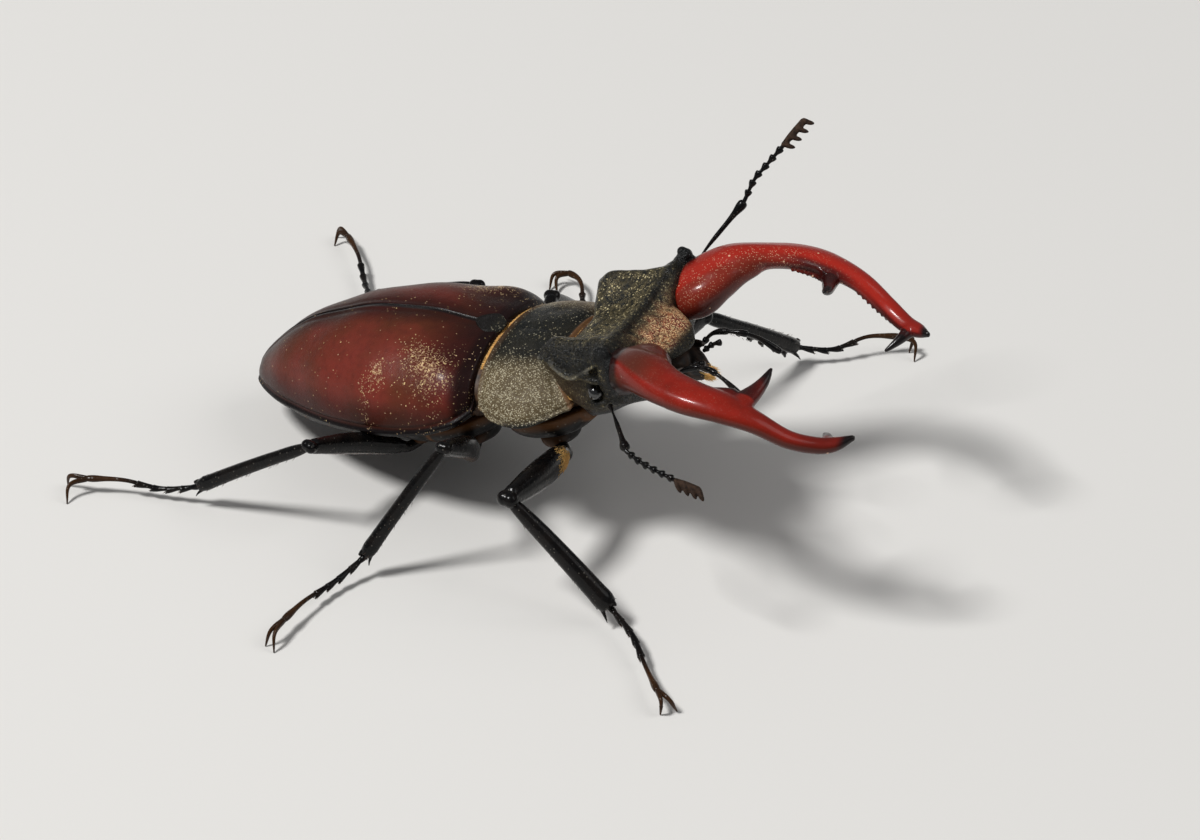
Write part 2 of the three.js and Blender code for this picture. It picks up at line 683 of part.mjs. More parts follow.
const scutellum = scutellumPlate();
const scutellumSeat = scutellumPlate(GAP / 2);
const elytron = elytronLeft();
place(body, 'elytron_left', cut(elytron, scutellumSeat), 'elytra');
place(body, 'elytron_right', cut(mirrored(elytron), scutellumSeat), 'elytra');
place(body, 'scutellum', scutellum, 'pronotum');
place(body, 'pronotum', pronotum(), 'pronotum');
place(body, 'prothorax', cut(hull(PROTHORAX_STATIONS), ...coxaPair('front', GAP / 2)), 'underside');
const hindSeats = [...coxaPair('middle', GAP / 2), ...coxaPair('hind', GAP / 2)];
place(body, 'metathorax', cut(hull(METATHORAX_STATIONS), ...hindSeats), 'underside');
place(body, 'abdomen', hull(ABDOMEN_STATIONS), 'underside');
place(body, 'head', head(), 'head');
place(body, 'clypeus', snout(CLYPEUS_STATIONS), 'head');
place(body, 'mouthparts', snout(MOUTH_STATIONS), 'mouth');

const mandible = mandibleLeft();
const maxillaryPalp = beadedLimb(MAXILLARY_PALP, MAXILLARY_PALP.length - 1, PALP);
const labialPalp = beadedLimb(LABIAL_PALP, LABIAL_PALP.length - 1, PALP);
for (const [name, side] of [['left', 1], ['right', -1]]) {
	const sided = (geometry) => (side > 0 ? geometry : mirrored(geometry));
	place(body, `eye_${name}`, eyeBall(side), 'eye');
	place(body, `mandible_${name}`, sided(mandible), 'mandible');
	place(body, `maxillary_palp_${name}`, sided(maxillaryPalp), 'limb');
	place(body, `labial_palp_${name}`, sided(labialPalp), 'limb');
	const antenna = ANTENNAE[name];
	place(body, `antenna_scape_${name}`, scape(antenna.scape), 'limb');
	place(body, `antenna_funicle_${name}`, beadedLimb(antenna.funicle, FUNICLE_SEGMENTS, FUNICLE), 'limb');
	place(body, `antenna_club_${name}`, club(antenna.club, antenna.lamellaLean), 'club');
	for (const pair of ['front', 'middle', 'hind']) {
		const leg = LEGS[`${pair}_${name}`];
		place(body, `coxa_${pair}_${name}`, coxa(pair, side), 'underside');
		place(beetle, `femur_${pair}_${name}`, femur(leg, LEG_SHAPES[pair]), 'limb');
		place(beetle, `tibia_${pair}_${name}`, tibia(leg, LEG_SHAPES[pair]), 'limb');
		place(beetle, `tarsus_${pair}_${name}`, tarsus(leg), 'limb');
	}
}

beetle.updateMatrixWorld(true);
const box = new THREE.Box3().setFromObject(beetle, true);
const centre = box.getCenter(new THREE.Vector3());
beetle.position.set(-centre.x, -centre.y, 0);

export default beetle;
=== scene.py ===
# %% [markdown]
# # A male stag beetle at life size
# A stag beetle is a set of hard shell plates: two wing cases, a neck shield, a broad head with a
# raised ridge, two antler-like jaws, and six jointed legs. The plates don't bend, so each one is its
# own mesh, and the only soft things are short hairs along the seams. The solid model underneath sets
# every size. This script lays a finely modelled skin over each solid and gives it its finish.

# %% Start from the solid model
import math

import bmesh
import bpy
import numpy as np
from mathutils import Matrix, Vector


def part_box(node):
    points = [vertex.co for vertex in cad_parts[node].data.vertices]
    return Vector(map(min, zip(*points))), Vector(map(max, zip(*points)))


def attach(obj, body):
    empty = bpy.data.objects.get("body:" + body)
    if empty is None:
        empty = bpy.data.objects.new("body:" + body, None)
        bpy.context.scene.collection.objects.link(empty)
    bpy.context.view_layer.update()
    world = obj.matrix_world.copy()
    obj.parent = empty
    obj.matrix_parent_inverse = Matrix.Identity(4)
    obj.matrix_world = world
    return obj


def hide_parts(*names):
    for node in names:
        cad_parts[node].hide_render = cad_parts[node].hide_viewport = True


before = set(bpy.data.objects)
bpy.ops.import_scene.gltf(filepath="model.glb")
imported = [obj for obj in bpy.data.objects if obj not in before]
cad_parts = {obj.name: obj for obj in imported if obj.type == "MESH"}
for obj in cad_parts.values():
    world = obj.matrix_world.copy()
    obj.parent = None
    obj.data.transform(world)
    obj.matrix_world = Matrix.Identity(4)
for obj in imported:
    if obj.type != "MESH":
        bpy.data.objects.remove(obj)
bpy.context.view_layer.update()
MM = 0.001

# %% [markdown]
# ## Two frames to draw in
# The trunk is easiest to draw level, with its origin on the middle line at the base of the wing
# cases, and then pitch head-up as one. The legs stand on the floor, so they are drawn in the standing
# frame. Both are matrices from millimetres to the model's metres. The model is centred on its own
# box, so the left eye, whose place in the trunk is known, tells how far everything was shifted.

# %% Frames
PITCH = math.radians(16)
TRUNK_HEIGHT = 13.0
EYE_PLACE = Vector((13.1, 8.35, 0.6))

pitched = Matrix.Translation((0, 0, TRUNK_HEIGHT)) @ Matrix.Rotation(-PITCH, 4, "Y")
eye_low, eye_high = (Vector(corner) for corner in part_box("eye_left"))
SHIFT = (eye_low + eye_high) / 2 / MM - pitched @ EYE_PLACE
STANDING = Matrix.Scale(MM, 4) @ Matrix.Translation(SHIFT)
TRUNK = STANDING @ pitched
print("shift of the standing frame (mm):", [round(value, 4) for value in SHIFT])

# %% [markdown]
# ## Smooth tables and paths
# An insect's outline has no straight lines, so sizes are kept in small tables and a smooth curve is
# drawn through them. A Hermite curve passes through every row and needs only each row's slope. The
# same curve, measured along its length, gives the path of a leg or a feeler.

# %% Tables
def smooth_table(rows):
    """A smooth function through a table: the first column is the place, the others the values."""
    table = np.array(rows, float)
    places, values = table[:, 0], table[:, 1:]
    slopes = np.gradient(values, places, axis=0)

    def evaluate(place):
        place = np.clip(np.atleast_1d(np.asarray(place, float)), places[0], places[-1])
        i = np.clip(np.searchsorted(places, place, side="right") - 1, 0, len(places) - 2)
        width = (places[i + 1] - places[i])[:, None]
        t = (place - places[i])[:, None] / width
        start = (2 * t**3 - 3 * t**2 + 1) * values[i] + (t**3 - 2 * t**2 + t) * width * slopes[i]
        end = (3 * t**2 - 2 * t**3) * values[i + 1] + (t**3 - t**2) * width * slopes[i + 1]
        return start + end

    return evaluate


def smooth_path(points):
    """A curve through points, read by the share of its length, and that length."""
    points = np.array(points, float)
    chords = np.linalg.norm(np.diff(points, axis=0), axis=1)
    rough = smooth_table(np.column_stack([np.append(0, np.cumsum(chords)), points]))
    places = np.linspace(0, chords.sum(), 400)
    steps = np.linalg.norm(np.diff(rough(places), axis=0), axis=1)
    length = steps.sum()
    shares = np.append(0, np.cumsum(steps)) / length
    return lambda share: rough(np.interp(share, shares, places)), length


def smoothstep(value, low, high):
    t = np.clip((np.asarray(value, float) - low) / (high - low), 0, 1)
    return t * t * (3 - 2 * t)


def bump(value, width):
    """A smooth hill, 1 at zero and gone past about twice its width."""
    return np.exp(-((np.asarray(value, float) / width) ** 2))


def oval(x, y, middle, reach):
    """A smooth oval hill on a plan; its middle and reach are pairs, along x and along y."""
    return bump(np.hypot((x - middle[0]) / reach[0], (y - middle[1]) / reach[1]), 1)


print("tables and paths are ready")

# %% [markdown]
# ## A skin from a grid
# Every hard plate here is a tube or a dome, so one operator can start them all: a flat grid, whose
# rows become rings round the shape. The grid's corners are moved into place, its two long edges and
# its poles are merged, and the normals are turned outwards.

# %% Skins
MERGE = 2e-7


def skin(points, place=TRUNK):
    """A closed bmesh laid over points[row][column], which are millimetres in the given frame."""
    rows, columns = points.shape[:2]
    bm = bmesh.new()
    bmesh.ops.create_grid(bm, x_segments=columns - 1, y_segments=rows - 1, size=0.5)
    for vert in bm.verts:
        column = round((vert.co.x + 0.5) * (columns - 1))
        row = round((vert.co.y + 0.5) * (rows - 1))
        vert.co = place @ Vector(points[row, column])
    bmesh.ops.remove_doubles(bm, verts=bm.verts, dist=MERGE)
    bmesh.ops.recalc_face_normals(bm, faces=bm.faces)
    return bm


def domed_ends(rings, start, end, steps=6):
    """Rings with a rounded end added before the first and after the last, each of its own depth."""
    def dome(ring, outward, depth):
        middle = ring.mean(axis=0)
        angles = np.linspace(0, np.pi / 2, steps + 1)[1:]
        return [middle + (ring - middle) * max(np.cos(a), 0) + outward * depth * np.sin(a) for a in angles]

    first = rings[0].mean(axis=0) - rings[1].mean(axis=0)
    last = rings[-1].mean(axis=0) - rings[-2].mean(axis=0)
    front = dome(rings[0], first / np.linalg.norm(first), start)[::-1]
    back = dome(rings[-1], last / np.linalg.norm(last), end)
    return np.array([*front, *rings, *back])


def closed_ring(columns):
    """Angles once round a ring, with the first repeated at the end."""
    return np.linspace(0, 2 * np.pi, columns + 1)


def rounded(angle, fullness=2.0):
    """Cosine and sine, drawn out towards a rounded square as the fullness grows past 2."""
    cosine, sine = np.cos(angle), np.sin(angle)
    power = 2 / fullness
    return np.sign(cosine) * np.abs(cosine) ** power, np.sign(sine) * np.abs(sine) ** power


def raised(points, heights):
    """A grid of points moved out along its own normals by a grid of heights."""
    along = np.gradient(points, axis=0)
    around = np.gradient(points, axis=1)
    normal = np.cross(along, around)
    normal /= np.maximum(np.linalg.norm(normal, axis=2, keepdims=True), 1e-9)
    middle = points.mean(axis=1, keepdims=True)
    outward = np.sign(np.sum((points - middle) * normal, axis=(0, 1, 2))) or 1
    return points + normal * outward * heights[..., None]


def sweep(path, length, radii, sides=28, steps=48, up=(0, 0, 1), caps=(0.3, 0.3), fullness=2.0):
    """Rings round a path with rounded ends; radii(share) gives the half widths and half heights."""
    share = (1 - np.cos(np.linspace(0, np.pi, steps + 1))) / 2
    centre = path(share)
    along = path(np.minimum(share + 0.004, 1)) - path(np.maximum(share - 0.004, 0))
    along /= np.linalg.norm(along, axis=1, keepdims=True)
    up = np.array(up, float)
    upright = up - along * (along @ up)[:, None]
    upright /= np.linalg.norm(upright, axis=1, keepdims=True)
    across = np.cross(upright, along)
    start = np.clip(share * length / caps[0], 0, 1)
    end = np.clip((1 - share) * length / caps[1], 0, 1)
    ends = np.sqrt(1 - (1 - start) ** 2) * np.sqrt(1 - (1 - end) ** 2)
    radius = radii(share) * ends[:, None]
    cosine, sine = rounded(closed_ring(sides), fullness)
    return (centre[:, None] + across[:, None] * (radius[:, :1] * cosine)[..., None]
            + upright[:, None] * (radius[:, 1:] * sine)[..., None])


def tube(points, radii, sides=28, steps=48, **more):
    """A sweep along a curve through points; radii is a function or a table for one."""
    path, length = smooth_path(points)
    return sweep(path, length, radii if callable(radii) else smooth_table(radii), sides, steps, **more)


def ball(centre, radii, columns=32, rows=20):
    """Rings of a squashed ball, pole to pole."""
    down = np.linspace(0, np.pi, rows + 1)[:, None]
    round_ = closed_ring(columns)[None, :]
    unit = np.stack([np.sin(down) * np.cos(round_), np.sin(down) * np.sin(round_),
                     np.cos(down) * np.ones_like(round_)], axis=2)
    return np.array(centre) + unit * np.array(radii)


probe = skin(ball((0, 0, 0), (1, 1, 1)))
volume = probe.calc_volume(signed=True) / MM**3
print("a ball of", len(probe.verts), "corners, outward volume (mm3):", round(volume, 3))
probe.free()

# %% [markdown]
# ## Joining forms into one body
# A jaw grows its teeth and a shank grows its spurs without a seam. Modelled apart, the forms would
# meet in a hard crease, so the closed meshes are put in one object and the Remesh modifier wraps them
# in even small squares. A few rounds of smoothing then melt the joints, as growth does.

# %% Joining and finishing pieces
def join(meshes):
    """One bmesh from several."""
    whole = bmesh.new()
    for bm in meshes:
        part = bpy.data.meshes.new("part")
        bm.to_mesh(part)
        bm.free()
        whole.from_mesh(part)
        bpy.data.meshes.remove(part)
    return whole


def soften(bm, verts, rounds):
    """Rounds of smoothing, each of which draws the corners halfway towards their neighbours."""
    for _ in range(rounds):
        bmesh.ops.smooth_vert(bm, verts=verts, factor=0.5,
                              use_axis_x=True, use_axis_y=True, use_axis_z=True)


def melted(meshes, square, rounds):
    """Closed meshes fused into one skin of small squares, smoothed over their joints."""
    whole = join(meshes)
    mesh = bpy.data.meshes.new("melt")
    whole.to_mesh(mesh)
    whole.free()
    block = bpy.data.objects.new("melt", mesh)
    bpy.context.scene.collection.objects.link(block)
    wrap = block.modifiers.new("wrap", "REMESH")
    wrap.mode = "VOXEL"
    wrap.voxel_size = square * MM
    graph = bpy.context.evaluated_depsgraph_get()
    fused = bpy.data.meshes.new_from_object(block.evaluated_get(graph))
    bm = bmesh.new()
    bm.from_mesh(fused)
    soften(bm, bm.verts, rounds)
    bmesh.ops.recalc_face_normals(bm, faces=bm.faces)
    bpy.data.objects.remove(block)
    bpy.data.meshes.remove(mesh)
    bpy.data.meshes.remove(fused)
    return bm


def piece(name, bm, slot, nodes=()):
    """The finished object of a bmesh: smooth, riding on the beetle, in place of its solids."""
    mesh = bpy.data.meshes.new(name)
    bm.to_mesh(mesh)
    bm.free()
    mesh.shade_smooth()
    thing = bpy.data.objects.new(name, mesh)
    bpy.context.scene.collection.objects.link(thing)
    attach(thing, "root")
    if nodes:
        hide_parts(*nodes)
    print(f"{name}: {len(mesh.polygons)} faces")
    return thing


def places(thing, frame_from=TRUNK):
    """A piece's corners in millimetres in the frame that it was drawn in, as an array."""
    count = len(thing.data.vertices)
    flat = np.empty(count * 3)
    thing.data.vertices.foreach_get("co", flat)
    back = np.array(frame_from.inverted())
    return flat.reshape(-1, 3) @ back[:3, :3].T + back[:3, 3]


def paint(thing, name, values):
    """A mask on a piece's corners, 0 to 1, that its finish reads by name."""
    layer = thing.data.attributes.new(name, "FLOAT", "POINT")
    layer.data.foreach_set("value", np.clip(np.asarray(values, float), 0, 1))


print("joining, melting and painting are ready")

# %% [markdown]
# ## Finishes from nodes
# Beetle shell is layered cuticle: a dark or brown base, fine pits or grains, and a clear waxy top.
# Each finish below builds that from noise and cell patterns in Object coordinates, so the grain keeps
# its true size on every piece. Short helpers add a node, lay colours over each other and turn a
# number into a mask. Masks painted on the pieces say where a margin darkens or dust gathers, and
# where painted shade and painted highlights go.

# %% Node helpers
def tint(red, green, blue):
    """A linear colour from the 0-255 values of a paint chart."""
    def linear(value):
        value /= 255
        return value / 12.92 if value <= 0.04045 else ((value + 0.055) / 1.055) ** 2.4
    return (linear(red), linear(green), linear(blue), 1.0)


def new_finish(name, roughness, coat=0.0, coat_roughness=0.1, specular=0.5):
    """A material with one Principled shader and its node tree."""
    material = bpy.data.materials.new(name)
    material.use_nodes = True
    tree = material.node_tree
    shader = tree.nodes["Principled BSDF"]
    shader.inputs["Roughness"].default_value = roughness
    shader.inputs["Coat Weight"].default_value = coat
    shader.inputs["Coat Roughness"].default_value = coat_roughness
    shader.inputs["Specular IOR Level"].default_value = specular
    return material, tree, shader


def put(tree, kind, inputs=None, **settings):
    """A node with its settings; an input is a value or another node's output."""
    node = tree.nodes.new(kind)
    for key, value in settings.items():
        setattr(node, key, value)
    for key, value in (inputs or {}).items():
        if isinstance(value, bpy.types.NodeSocket):
            tree.links.new(value, node.inputs[key])
        else:
            node.inputs[key].default_value = value
    return node


def spot(tree):
    """Where a point of the surface is, in metres."""
    return put(tree, "ShaderNodeTexCoord").outputs["Object"]


def noise(tree, size, detail=3.0, rough=0.55):
    """Soft noise whose blots are about size millimetres across."""
    return put(tree, "ShaderNodeTexNoise", {"Vector": spot(tree), "Scale": 1 / (size * MM),
               "Detail": detail, "Roughness": rough}).outputs["Fac"]


def cells(tree, size, randomness=1.0):
    """A cell pattern of about size millimetres: (distance from each cell's middle, its own number)."""
    node = put(tree, "ShaderNodeTexVoronoi", {"Vector": spot(tree), "Scale": 1 / (size * MM),
               "Randomness": randomness})
    number = put(tree, "ShaderNodeSeparateColor", {"Color": node.outputs["Color"]}).outputs["Red"]
    return node.outputs["Distance"], number


def mask(tree, name):
    return put(tree, "ShaderNodeAttribute", attribute_name=name, attribute_type="GEOMETRY").outputs["Fac"]


def level(tree, value, low, high, to_low=0.0, to_high=1.0):
    """A number between low and high stretched to another range, and held there."""
    return put(tree, "ShaderNodeMapRange", {"Value": value, "From Min": low, "From Max": high,
               "To Min": to_low, "To Max": to_high}, clamp=True).outputs["Result"]


def calc(tree, operation, a, b):
    return put(tree, "ShaderNodeMath", {0: a, 1: b}, operation=operation).outputs[0]


def times(tree, a, b):
    return calc(tree, "MULTIPLY", a, b)


def above(tree, value, limit):
    """1 where a number is above the limit, 0 elsewhere."""
    return calc(tree, "GREATER_THAN", value, limit)


def domed(tree, distance):
    """Each cell of a pattern as a grain, highest over its middle."""
    return level(tree, distance, 0.6, 0.1)


def mix(tree, share, a, b):
    """Colour a turning to colour b as the share grows."""
    node = tree.nodes.new("ShaderNodeMix")
    node.data_type = "RGBA"
    for socket, value in ((node.inputs[0], share), (node.inputs[6], a), (node.inputs[7], b)):
        if isinstance(value, bpy.types.NodeSocket):
            tree.links.new(value, socket)
        else:
            socket.default_value = value
    return node.outputs[2]


def layered(tree, base, *layers):
    """Colours laid over a base in turn; each layer is (share, colour)."""
    for share, colour in layers:
        base = mix(tree, share, base, colour)
    return base


def facing(tree):
    """0 where the surface is seen straight on, 1 where it turns away."""
    node = tree.nodes.new("ShaderNodeLayerWeight")
    node.inputs["Blend"].default_value = 0.35
    return node.outputs["Facing"]


def relief(tree, layers):
    """Bumps stacked on each other; each layer is (height, depth in millimetres)."""
    normal = None
    for height, depth in layers:
        inputs = {"Height": height, "Distance": depth * MM}
        if normal is not None:
            inputs["Normal"] = normal
        normal = put(tree, "ShaderNodeBump", inputs).outputs["Normal"]
    return normal


def wire(tree, shader, **outputs):
    """Plugs outputs into the shader's inputs; Base_Color stands for Base Color."""
    for name, output in outputs.items():
        tree.links.new(output, shader.inputs[name.replace("_", " ")])


print("node helpers are ready")

# %% [markdown]
# ## Wing-case lacquer
# The wing cases are chestnut red under a thin clear layer, and very finely pitted. They darken to
# black along the seam, the outer margin and the base, and painted shade darkens them where the surface
# turns away from view. Near the shoulders, where the lamp's highlight falls, small golden glints are
# painted into the colour as painted highlights. The pits are a cell pattern used as relief, and the
# painted glints are single cells picked by their own number, so that both have the same grain.

# %% Wing-case finish
def wing_finish():
    material, tree, shader = new_finish("wing_lacquer", 0.36, coat=0.07, coat_roughness=0.14, specular=0.1)
    blotch = level(tree, noise(tree, 5.0), 0.35, 0.65)
    base = layered(
        tree, mix(tree, blotch, tint(132, 54, 44), tint(104, 52, 34)),
        (level(tree, noise(tree, 0.7, 5.0), 0.45, 0.75, 0.0, 0.35), tint(76, 32, 30)),
        (mask(tree, "warm"), tint(108, 50, 16)),
        # painted shade: darker where the surface turns away from view
        (times(tree, facing(tree), 0.95), tint(40, 18, 6)),
        (mask(tree, "dark"), tint(15, 10, 11)))
    distance, number = cells(tree, 0.1)
    fine = noise(tree, 0.09, 2.0)
    # painted highlights: pale gold glints on the cells that the glint mask picks
    picked = above(tree, number, calc(tree, "SUBTRACT", 1.0, mask(tree, "glint")))
    glint = times(tree, picked, level(tree, noise(tree, 0.3, 2.0), 0.42, 0.7, 0.08, 1.0))
    two_golds = level(tree, noise(tree, 0.15, 0.0), 0.4, 0.6)
    base = mix(tree, glint, base, mix(tree, two_golds, tint(255, 226, 160), tint(196, 162, 132)))
    normal = relief(tree, [(distance, 0.016), (fine, 0.01), (noise(tree, 1.6), 0.05)])
    rough = level(tree, fine, 0.3, 0.7, 0.27, 0.43)
    wire(tree, shader, Base_Color=base, Normal=normal, Roughness=rough)
    return material


# %% [markdown]
# ## Granulate black
# The neck shield and the scutellum are black and densely granulate, like emery paper. Each grain
# catches the light, so the flanks look silver-gold with a dark ground between; that glitter is painted
# into the colour as painted highlights, over the real golden dust. The grains are domes from a cell
# pattern, and the palest cells are chosen by their number with a painted mask of dust and sheen.

# %% Neck-shield finish
def shield_finish():
    material, tree, shader = new_finish("granulate_black", 0.4, specular=0.25)
    ground = mix(tree, level(tree, noise(tree, 2.5), 0.35, 0.7), tint(14, 16, 14), tint(34, 32, 24))
    distance, number = cells(tree, 0.13)
    fine_distance, fine_number = cells(tree, 0.08)
    # this mask carries real golden dust and painted highlight glitter on the flanks
    dust_and_sheen = mask(tree, "dust_and_sheen")
    dome = domed(tree, distance)
    patch = level(tree, noise(tree, 0.8, 3.0), 0.35, 0.65, 0.45, 1.15)
    picked = times(tree, calc(tree, "LESS_THAN", number, times(tree, dust_and_sheen, patch)), dome)
    grain = mix(tree, calc(tree, "POWER", fine_number, 1.3), tint(150, 134, 98), tint(255, 248, 218))
    base = layered(
        tree, ground,
        (level(tree, dust_and_sheen, 0.25, 0.85, 0.0, 0.7), tint(110, 94, 66)),
        (picked, grain),
        (mask(tree, "brown"), tint(110, 76, 46)),
        (mask(tree, "dark"), tint(18, 15, 13)))
    normal = relief(tree, [(dome, 0.03), (domed(tree, fine_distance), 0.012)])
    rough = level(tree, fine_number, 0.0, 1.0, 0.3, 0.6)
    wire(tree, shader, Base_Color=base, Normal=normal, Roughness=rough)
    return material


# %% [markdown]
# ## Head finish
# The head is matt black under grey-olive dust, smoother on the ridges, and its face in front of the
# ridge is reddish beige and rough as sandstone. One shader carries all of it: painted masks fade from
# the dusty disc to the face and to the polished black of the ridge and knobs. The same black mask also
# lays painted shade along the front ridge and under the rims, and a pale line along the rim is a
# painted highlight.

# %% Head finish
def head_finish():
    material, tree, shader = new_finish("dusty_head", 0.6, specular=0.25)
    distance, number = cells(tree, 0.1)
    small_distance, small_number = cells(tree, 0.075)
    fleck_distance, fleck_number = cells(tree, 0.24)
    dome = domed(tree, distance)
    speck = times(tree, above(tree, number, 0.62), dome)
    fleck = times(tree, above(tree, fleck_number, 0.72), level(tree, fleck_distance, 0.4, 0.15))
    mottle = level(tree, noise(tree, 0.5, 8.0), 0.38, 0.64)
    disc = layered(
        tree, mix(tree, mottle, tint(12, 15, 13), tint(74, 66, 44)),
        (times(tree, speck, level(tree, noise(tree, 0.9, 3.0), 0.38, 0.65)),
         mix(tree, small_number, tint(130, 112, 70), tint(255, 236, 184))),
        (times(tree, fleck, 0.8), tint(232, 216, 166)))
    sandy = level(tree, noise(tree, 0.7, 5.0), 0.36, 0.6)
    stone = layered(
        tree, mix(tree, sandy, tint(112, 54, 40), tint(176, 122, 80)),
        (level(tree, noise(tree, 2.0, 3.0), 0.45, 0.62, 0.0, 0.7), tint(128, 44, 42)),
        (times(tree, above(tree, small_number, 0.72), 0.85), tint(244, 212, 158)),
        (times(tree, calc(tree, "LESS_THAN", small_number, 0.26), 0.75), tint(58, 26, 26)))
    on_face = times(tree, mask(tree, "face"), level(tree, noise(tree, 0.9, 6.0), 0.34, 0.5, 0.35, 1.0))
    base = layered(
        tree, disc,
        (on_face, stone),
        (mask(tree, "brown"), tint(96, 70, 42)),
        # the black of knobs and ridge, and painted shade along the ridge and under the rims
        (mask(tree, "dark"), tint(13, 14, 14)),
        # painted highlight along the rolled rim
        (mask(tree, "rim"), tint(120, 116, 104)))
    normal = relief(tree, [(dome, 0.025), (domed(tree, small_distance), 0.02),
                           (noise(tree, 0.7, 5.0), 0.09)])
    rough = level(tree, noise(tree, 0.3, 4.0), 0.35, 0.65, 0.24, 0.62)
    rough = times(tree, rough, level(tree, mask(tree, "dark"), 0.3, 1.0, 1.0, 0.55))
    wire(tree, shader, Base_Color=base, Normal=normal, Roughness=rough)
    return material


# %% [markdown]
# ## Jaw finish
# The jaws are glossy, like polished cherry wood: deep red on top, more orange low on the outer face,
# and black at the tips, the teeth and the inner edge. A few pale pores dot them. A clear coat over a
# base of middling roughness gives the long soft highlight with a sharp core. Light and shade are also
# painted: the far jaw is a brighter, sunlit red, the near jaw's root and both undersides take painted
# shade, the colour darkens where the surface turns away, and pale specks lay a painted sheen along the
# far jaw's lower inner edge.

# %% Jaw finish
def jaw_finish():
    material, tree, shader = new_finish("cherry_jaw", 0.34, coat=0.3, coat_roughness=0.12, specular=0.16)
    distance, number = cells(tree, 1.25)
    pore = times(tree, level(tree, distance, 0.1, 0.06), above(tree, number, 0.15))
    pit_distance, pit_number = cells(tree, 0.15)
    dusty = times(tree, above(tree, pit_number, 0.52), level(tree, pit_distance, 0.4, 0.12))
    blotch = level(tree, noise(tree, 3.0, 4.0), 0.35, 0.68)
    base = layered(
        tree, mix(tree, blotch, tint(152, 33, 20), tint(120, 27, 15)),
        (mask(tree, "sunlit"), tint(176, 40, 27)),
        (mask(tree, "warm"), tint(84, 21, 2)),
        # painted shade on the near jaw's root and in the crook
        (mask(tree, "plum_shade"), tint(84, 42, 28)),
        (mask(tree, "dark"), tint(16, 11, 12)),
        # painted shade where the surface turns away from view
        (times(tree, facing(tree), 0.55), tint(40, 8, 8)),
        (times(tree, pore, 0.85), tint(232, 186, 152)),
        # pale dusty specks; along the far jaw's lower inner edge they are a painted sheen
        (times(tree, dusty, mask(tree, "dust_and_sheen")), tint(236, 188, 154)))
    normal = relief(tree, [(level(tree, pit_distance, 0.0, 0.3), 0.012), (noise(tree, 1.2, 3.0), 0.03)])
    wire(tree, shader, Base_Color=base, Normal=normal)
    return material


# %% [markdown]
# ## Limb black and its relatives
# Legs, palps and feelers are glossy black with a row of pits, brown where the plate thins to an
# edge; the pits' pale colour is a painted glint, where they would catch the light. The underside is
# the same shell with less polish. The club's plates are felted and matt. The eye is a smooth black
# bead with the finest facets.

# %% Limb, underside, club, eye and hair finishes
def limb_finish(name="limb_black", roughness=0.22, coat=0.3, pit_size=0.34, pale=0.3):
    material, tree, shader = new_finish(name, roughness, coat=coat, coat_roughness=0.09, specular=0.12)
    shader.inputs["Coat IOR"].default_value = 1.3
    distance, number = cells(tree, pit_size)
    pit = times(tree, level(tree, distance, 0.22, 0.1), above(tree, number, 0.5))
    shade = level(tree, noise(tree, 1.5, 4.0), 0.4, 0.7)
    base = layered(
        tree, mix(tree, shade, tint(9, 9, 10), tint(24, 20, 18)),
        (mask(tree, "brown"), tint(104, 66, 32)),
        # painted glints: pale colour on half of the pits
        (times(tree, pit, pale), tint(150, 144, 132)))
    normal = relief(tree, [(level(tree, distance, 0.0, 0.4), 0.02), (noise(tree, 0.35, 4.0), 0.012)])
    rough = level(tree, noise(tree, 0.5, 3.0), 0.35, 0.65, roughness - 0.08, roughness + 0.14)
    wire(tree, shader, Base_Color=base, Normal=normal, Roughness=rough)
    return material


def felt_finish():
    material, tree, shader = new_finish("felted_club", 0.85, specular=0.25)
    base = mix(tree, level(tree, noise(tree, 0.25, 4.0), 0.35, 0.65), tint(34, 24, 18), tint(66, 48, 36))
    wire(tree, shader, Base_Color=base, Normal=relief(tree, [(noise(tree, 0.08, 4.0), 0.03)]))
    return material


def eye_finish():
    material, tree, shader = new_finish("eye_bead", 0.12, coat=1.0, coat_roughness=0.03)
    distance, number = cells(tree, 0.06, 0.3)
    base = mix(tree, number, tint(8, 8, 10), tint(26, 24, 26))
    wire(tree, shader, Base_Color=base, Normal=relief(tree, [(distance, 0.008)]))
    return material


def hair_finish(name, root, tip):
    """Hair goes from its root's tone to its tip's, as the mask painted along each hair says."""
    material, tree, shader = new_finish(name, 0.45, specular=0.5)
    base = mix(tree, mask(tree, "tip"), root, tip)
    base = mix(tree, level(tree, noise(tree, 0.4), 0.4, 0.7, 0.0, 0.5), base, tip)
    wire(tree, shader, Base_Color=base)
    return material


def soft_finish(name, deep, light):
    """Bare skin between plates, and the pads of the mouth."""
    material, tree, shader = new_finish(name, 0.55)
    base = mix(tree, level(tree, noise(tree, 0.6, 4.0), 0.35, 0.65), deep, light)
    wire(tree, shader, Base_Color=base, Normal=relief(tree, [(noise(tree, 0.25, 4.0), 0.04)]))
    return material


FINISH = {
    "wing": wing_finish(),
    "shield": shield_finish(),
    "head": head_finish(),
    "jaw": jaw_finish(),
    "limb": limb_finish(),
    "underside": limb_finish("underside_black", 0.42, 0.1, 0.5, 0.3),
    "club": felt_finish(),
    "eye": eye_finish(),
    "gold_hair": hair_finish("golden_hair", tint(206, 140, 48), tint(255, 214, 134)),
    "dark_hair": hair_finish("brown_bristle", tint(30, 20, 14), tint(96, 62, 34)),
    "skin": soft_finish("joint_skin", tint(40, 27, 17), tint(84, 56, 32)),
    "mouth": soft_finish("mouth_pad", tint(20, 15, 12), tint(52, 34, 20)),
}


def dress(thing, finish):
    thing.data.materials.append(FINISH[finish])


print("finishes:", ", ".join(sorted(FINISH)))

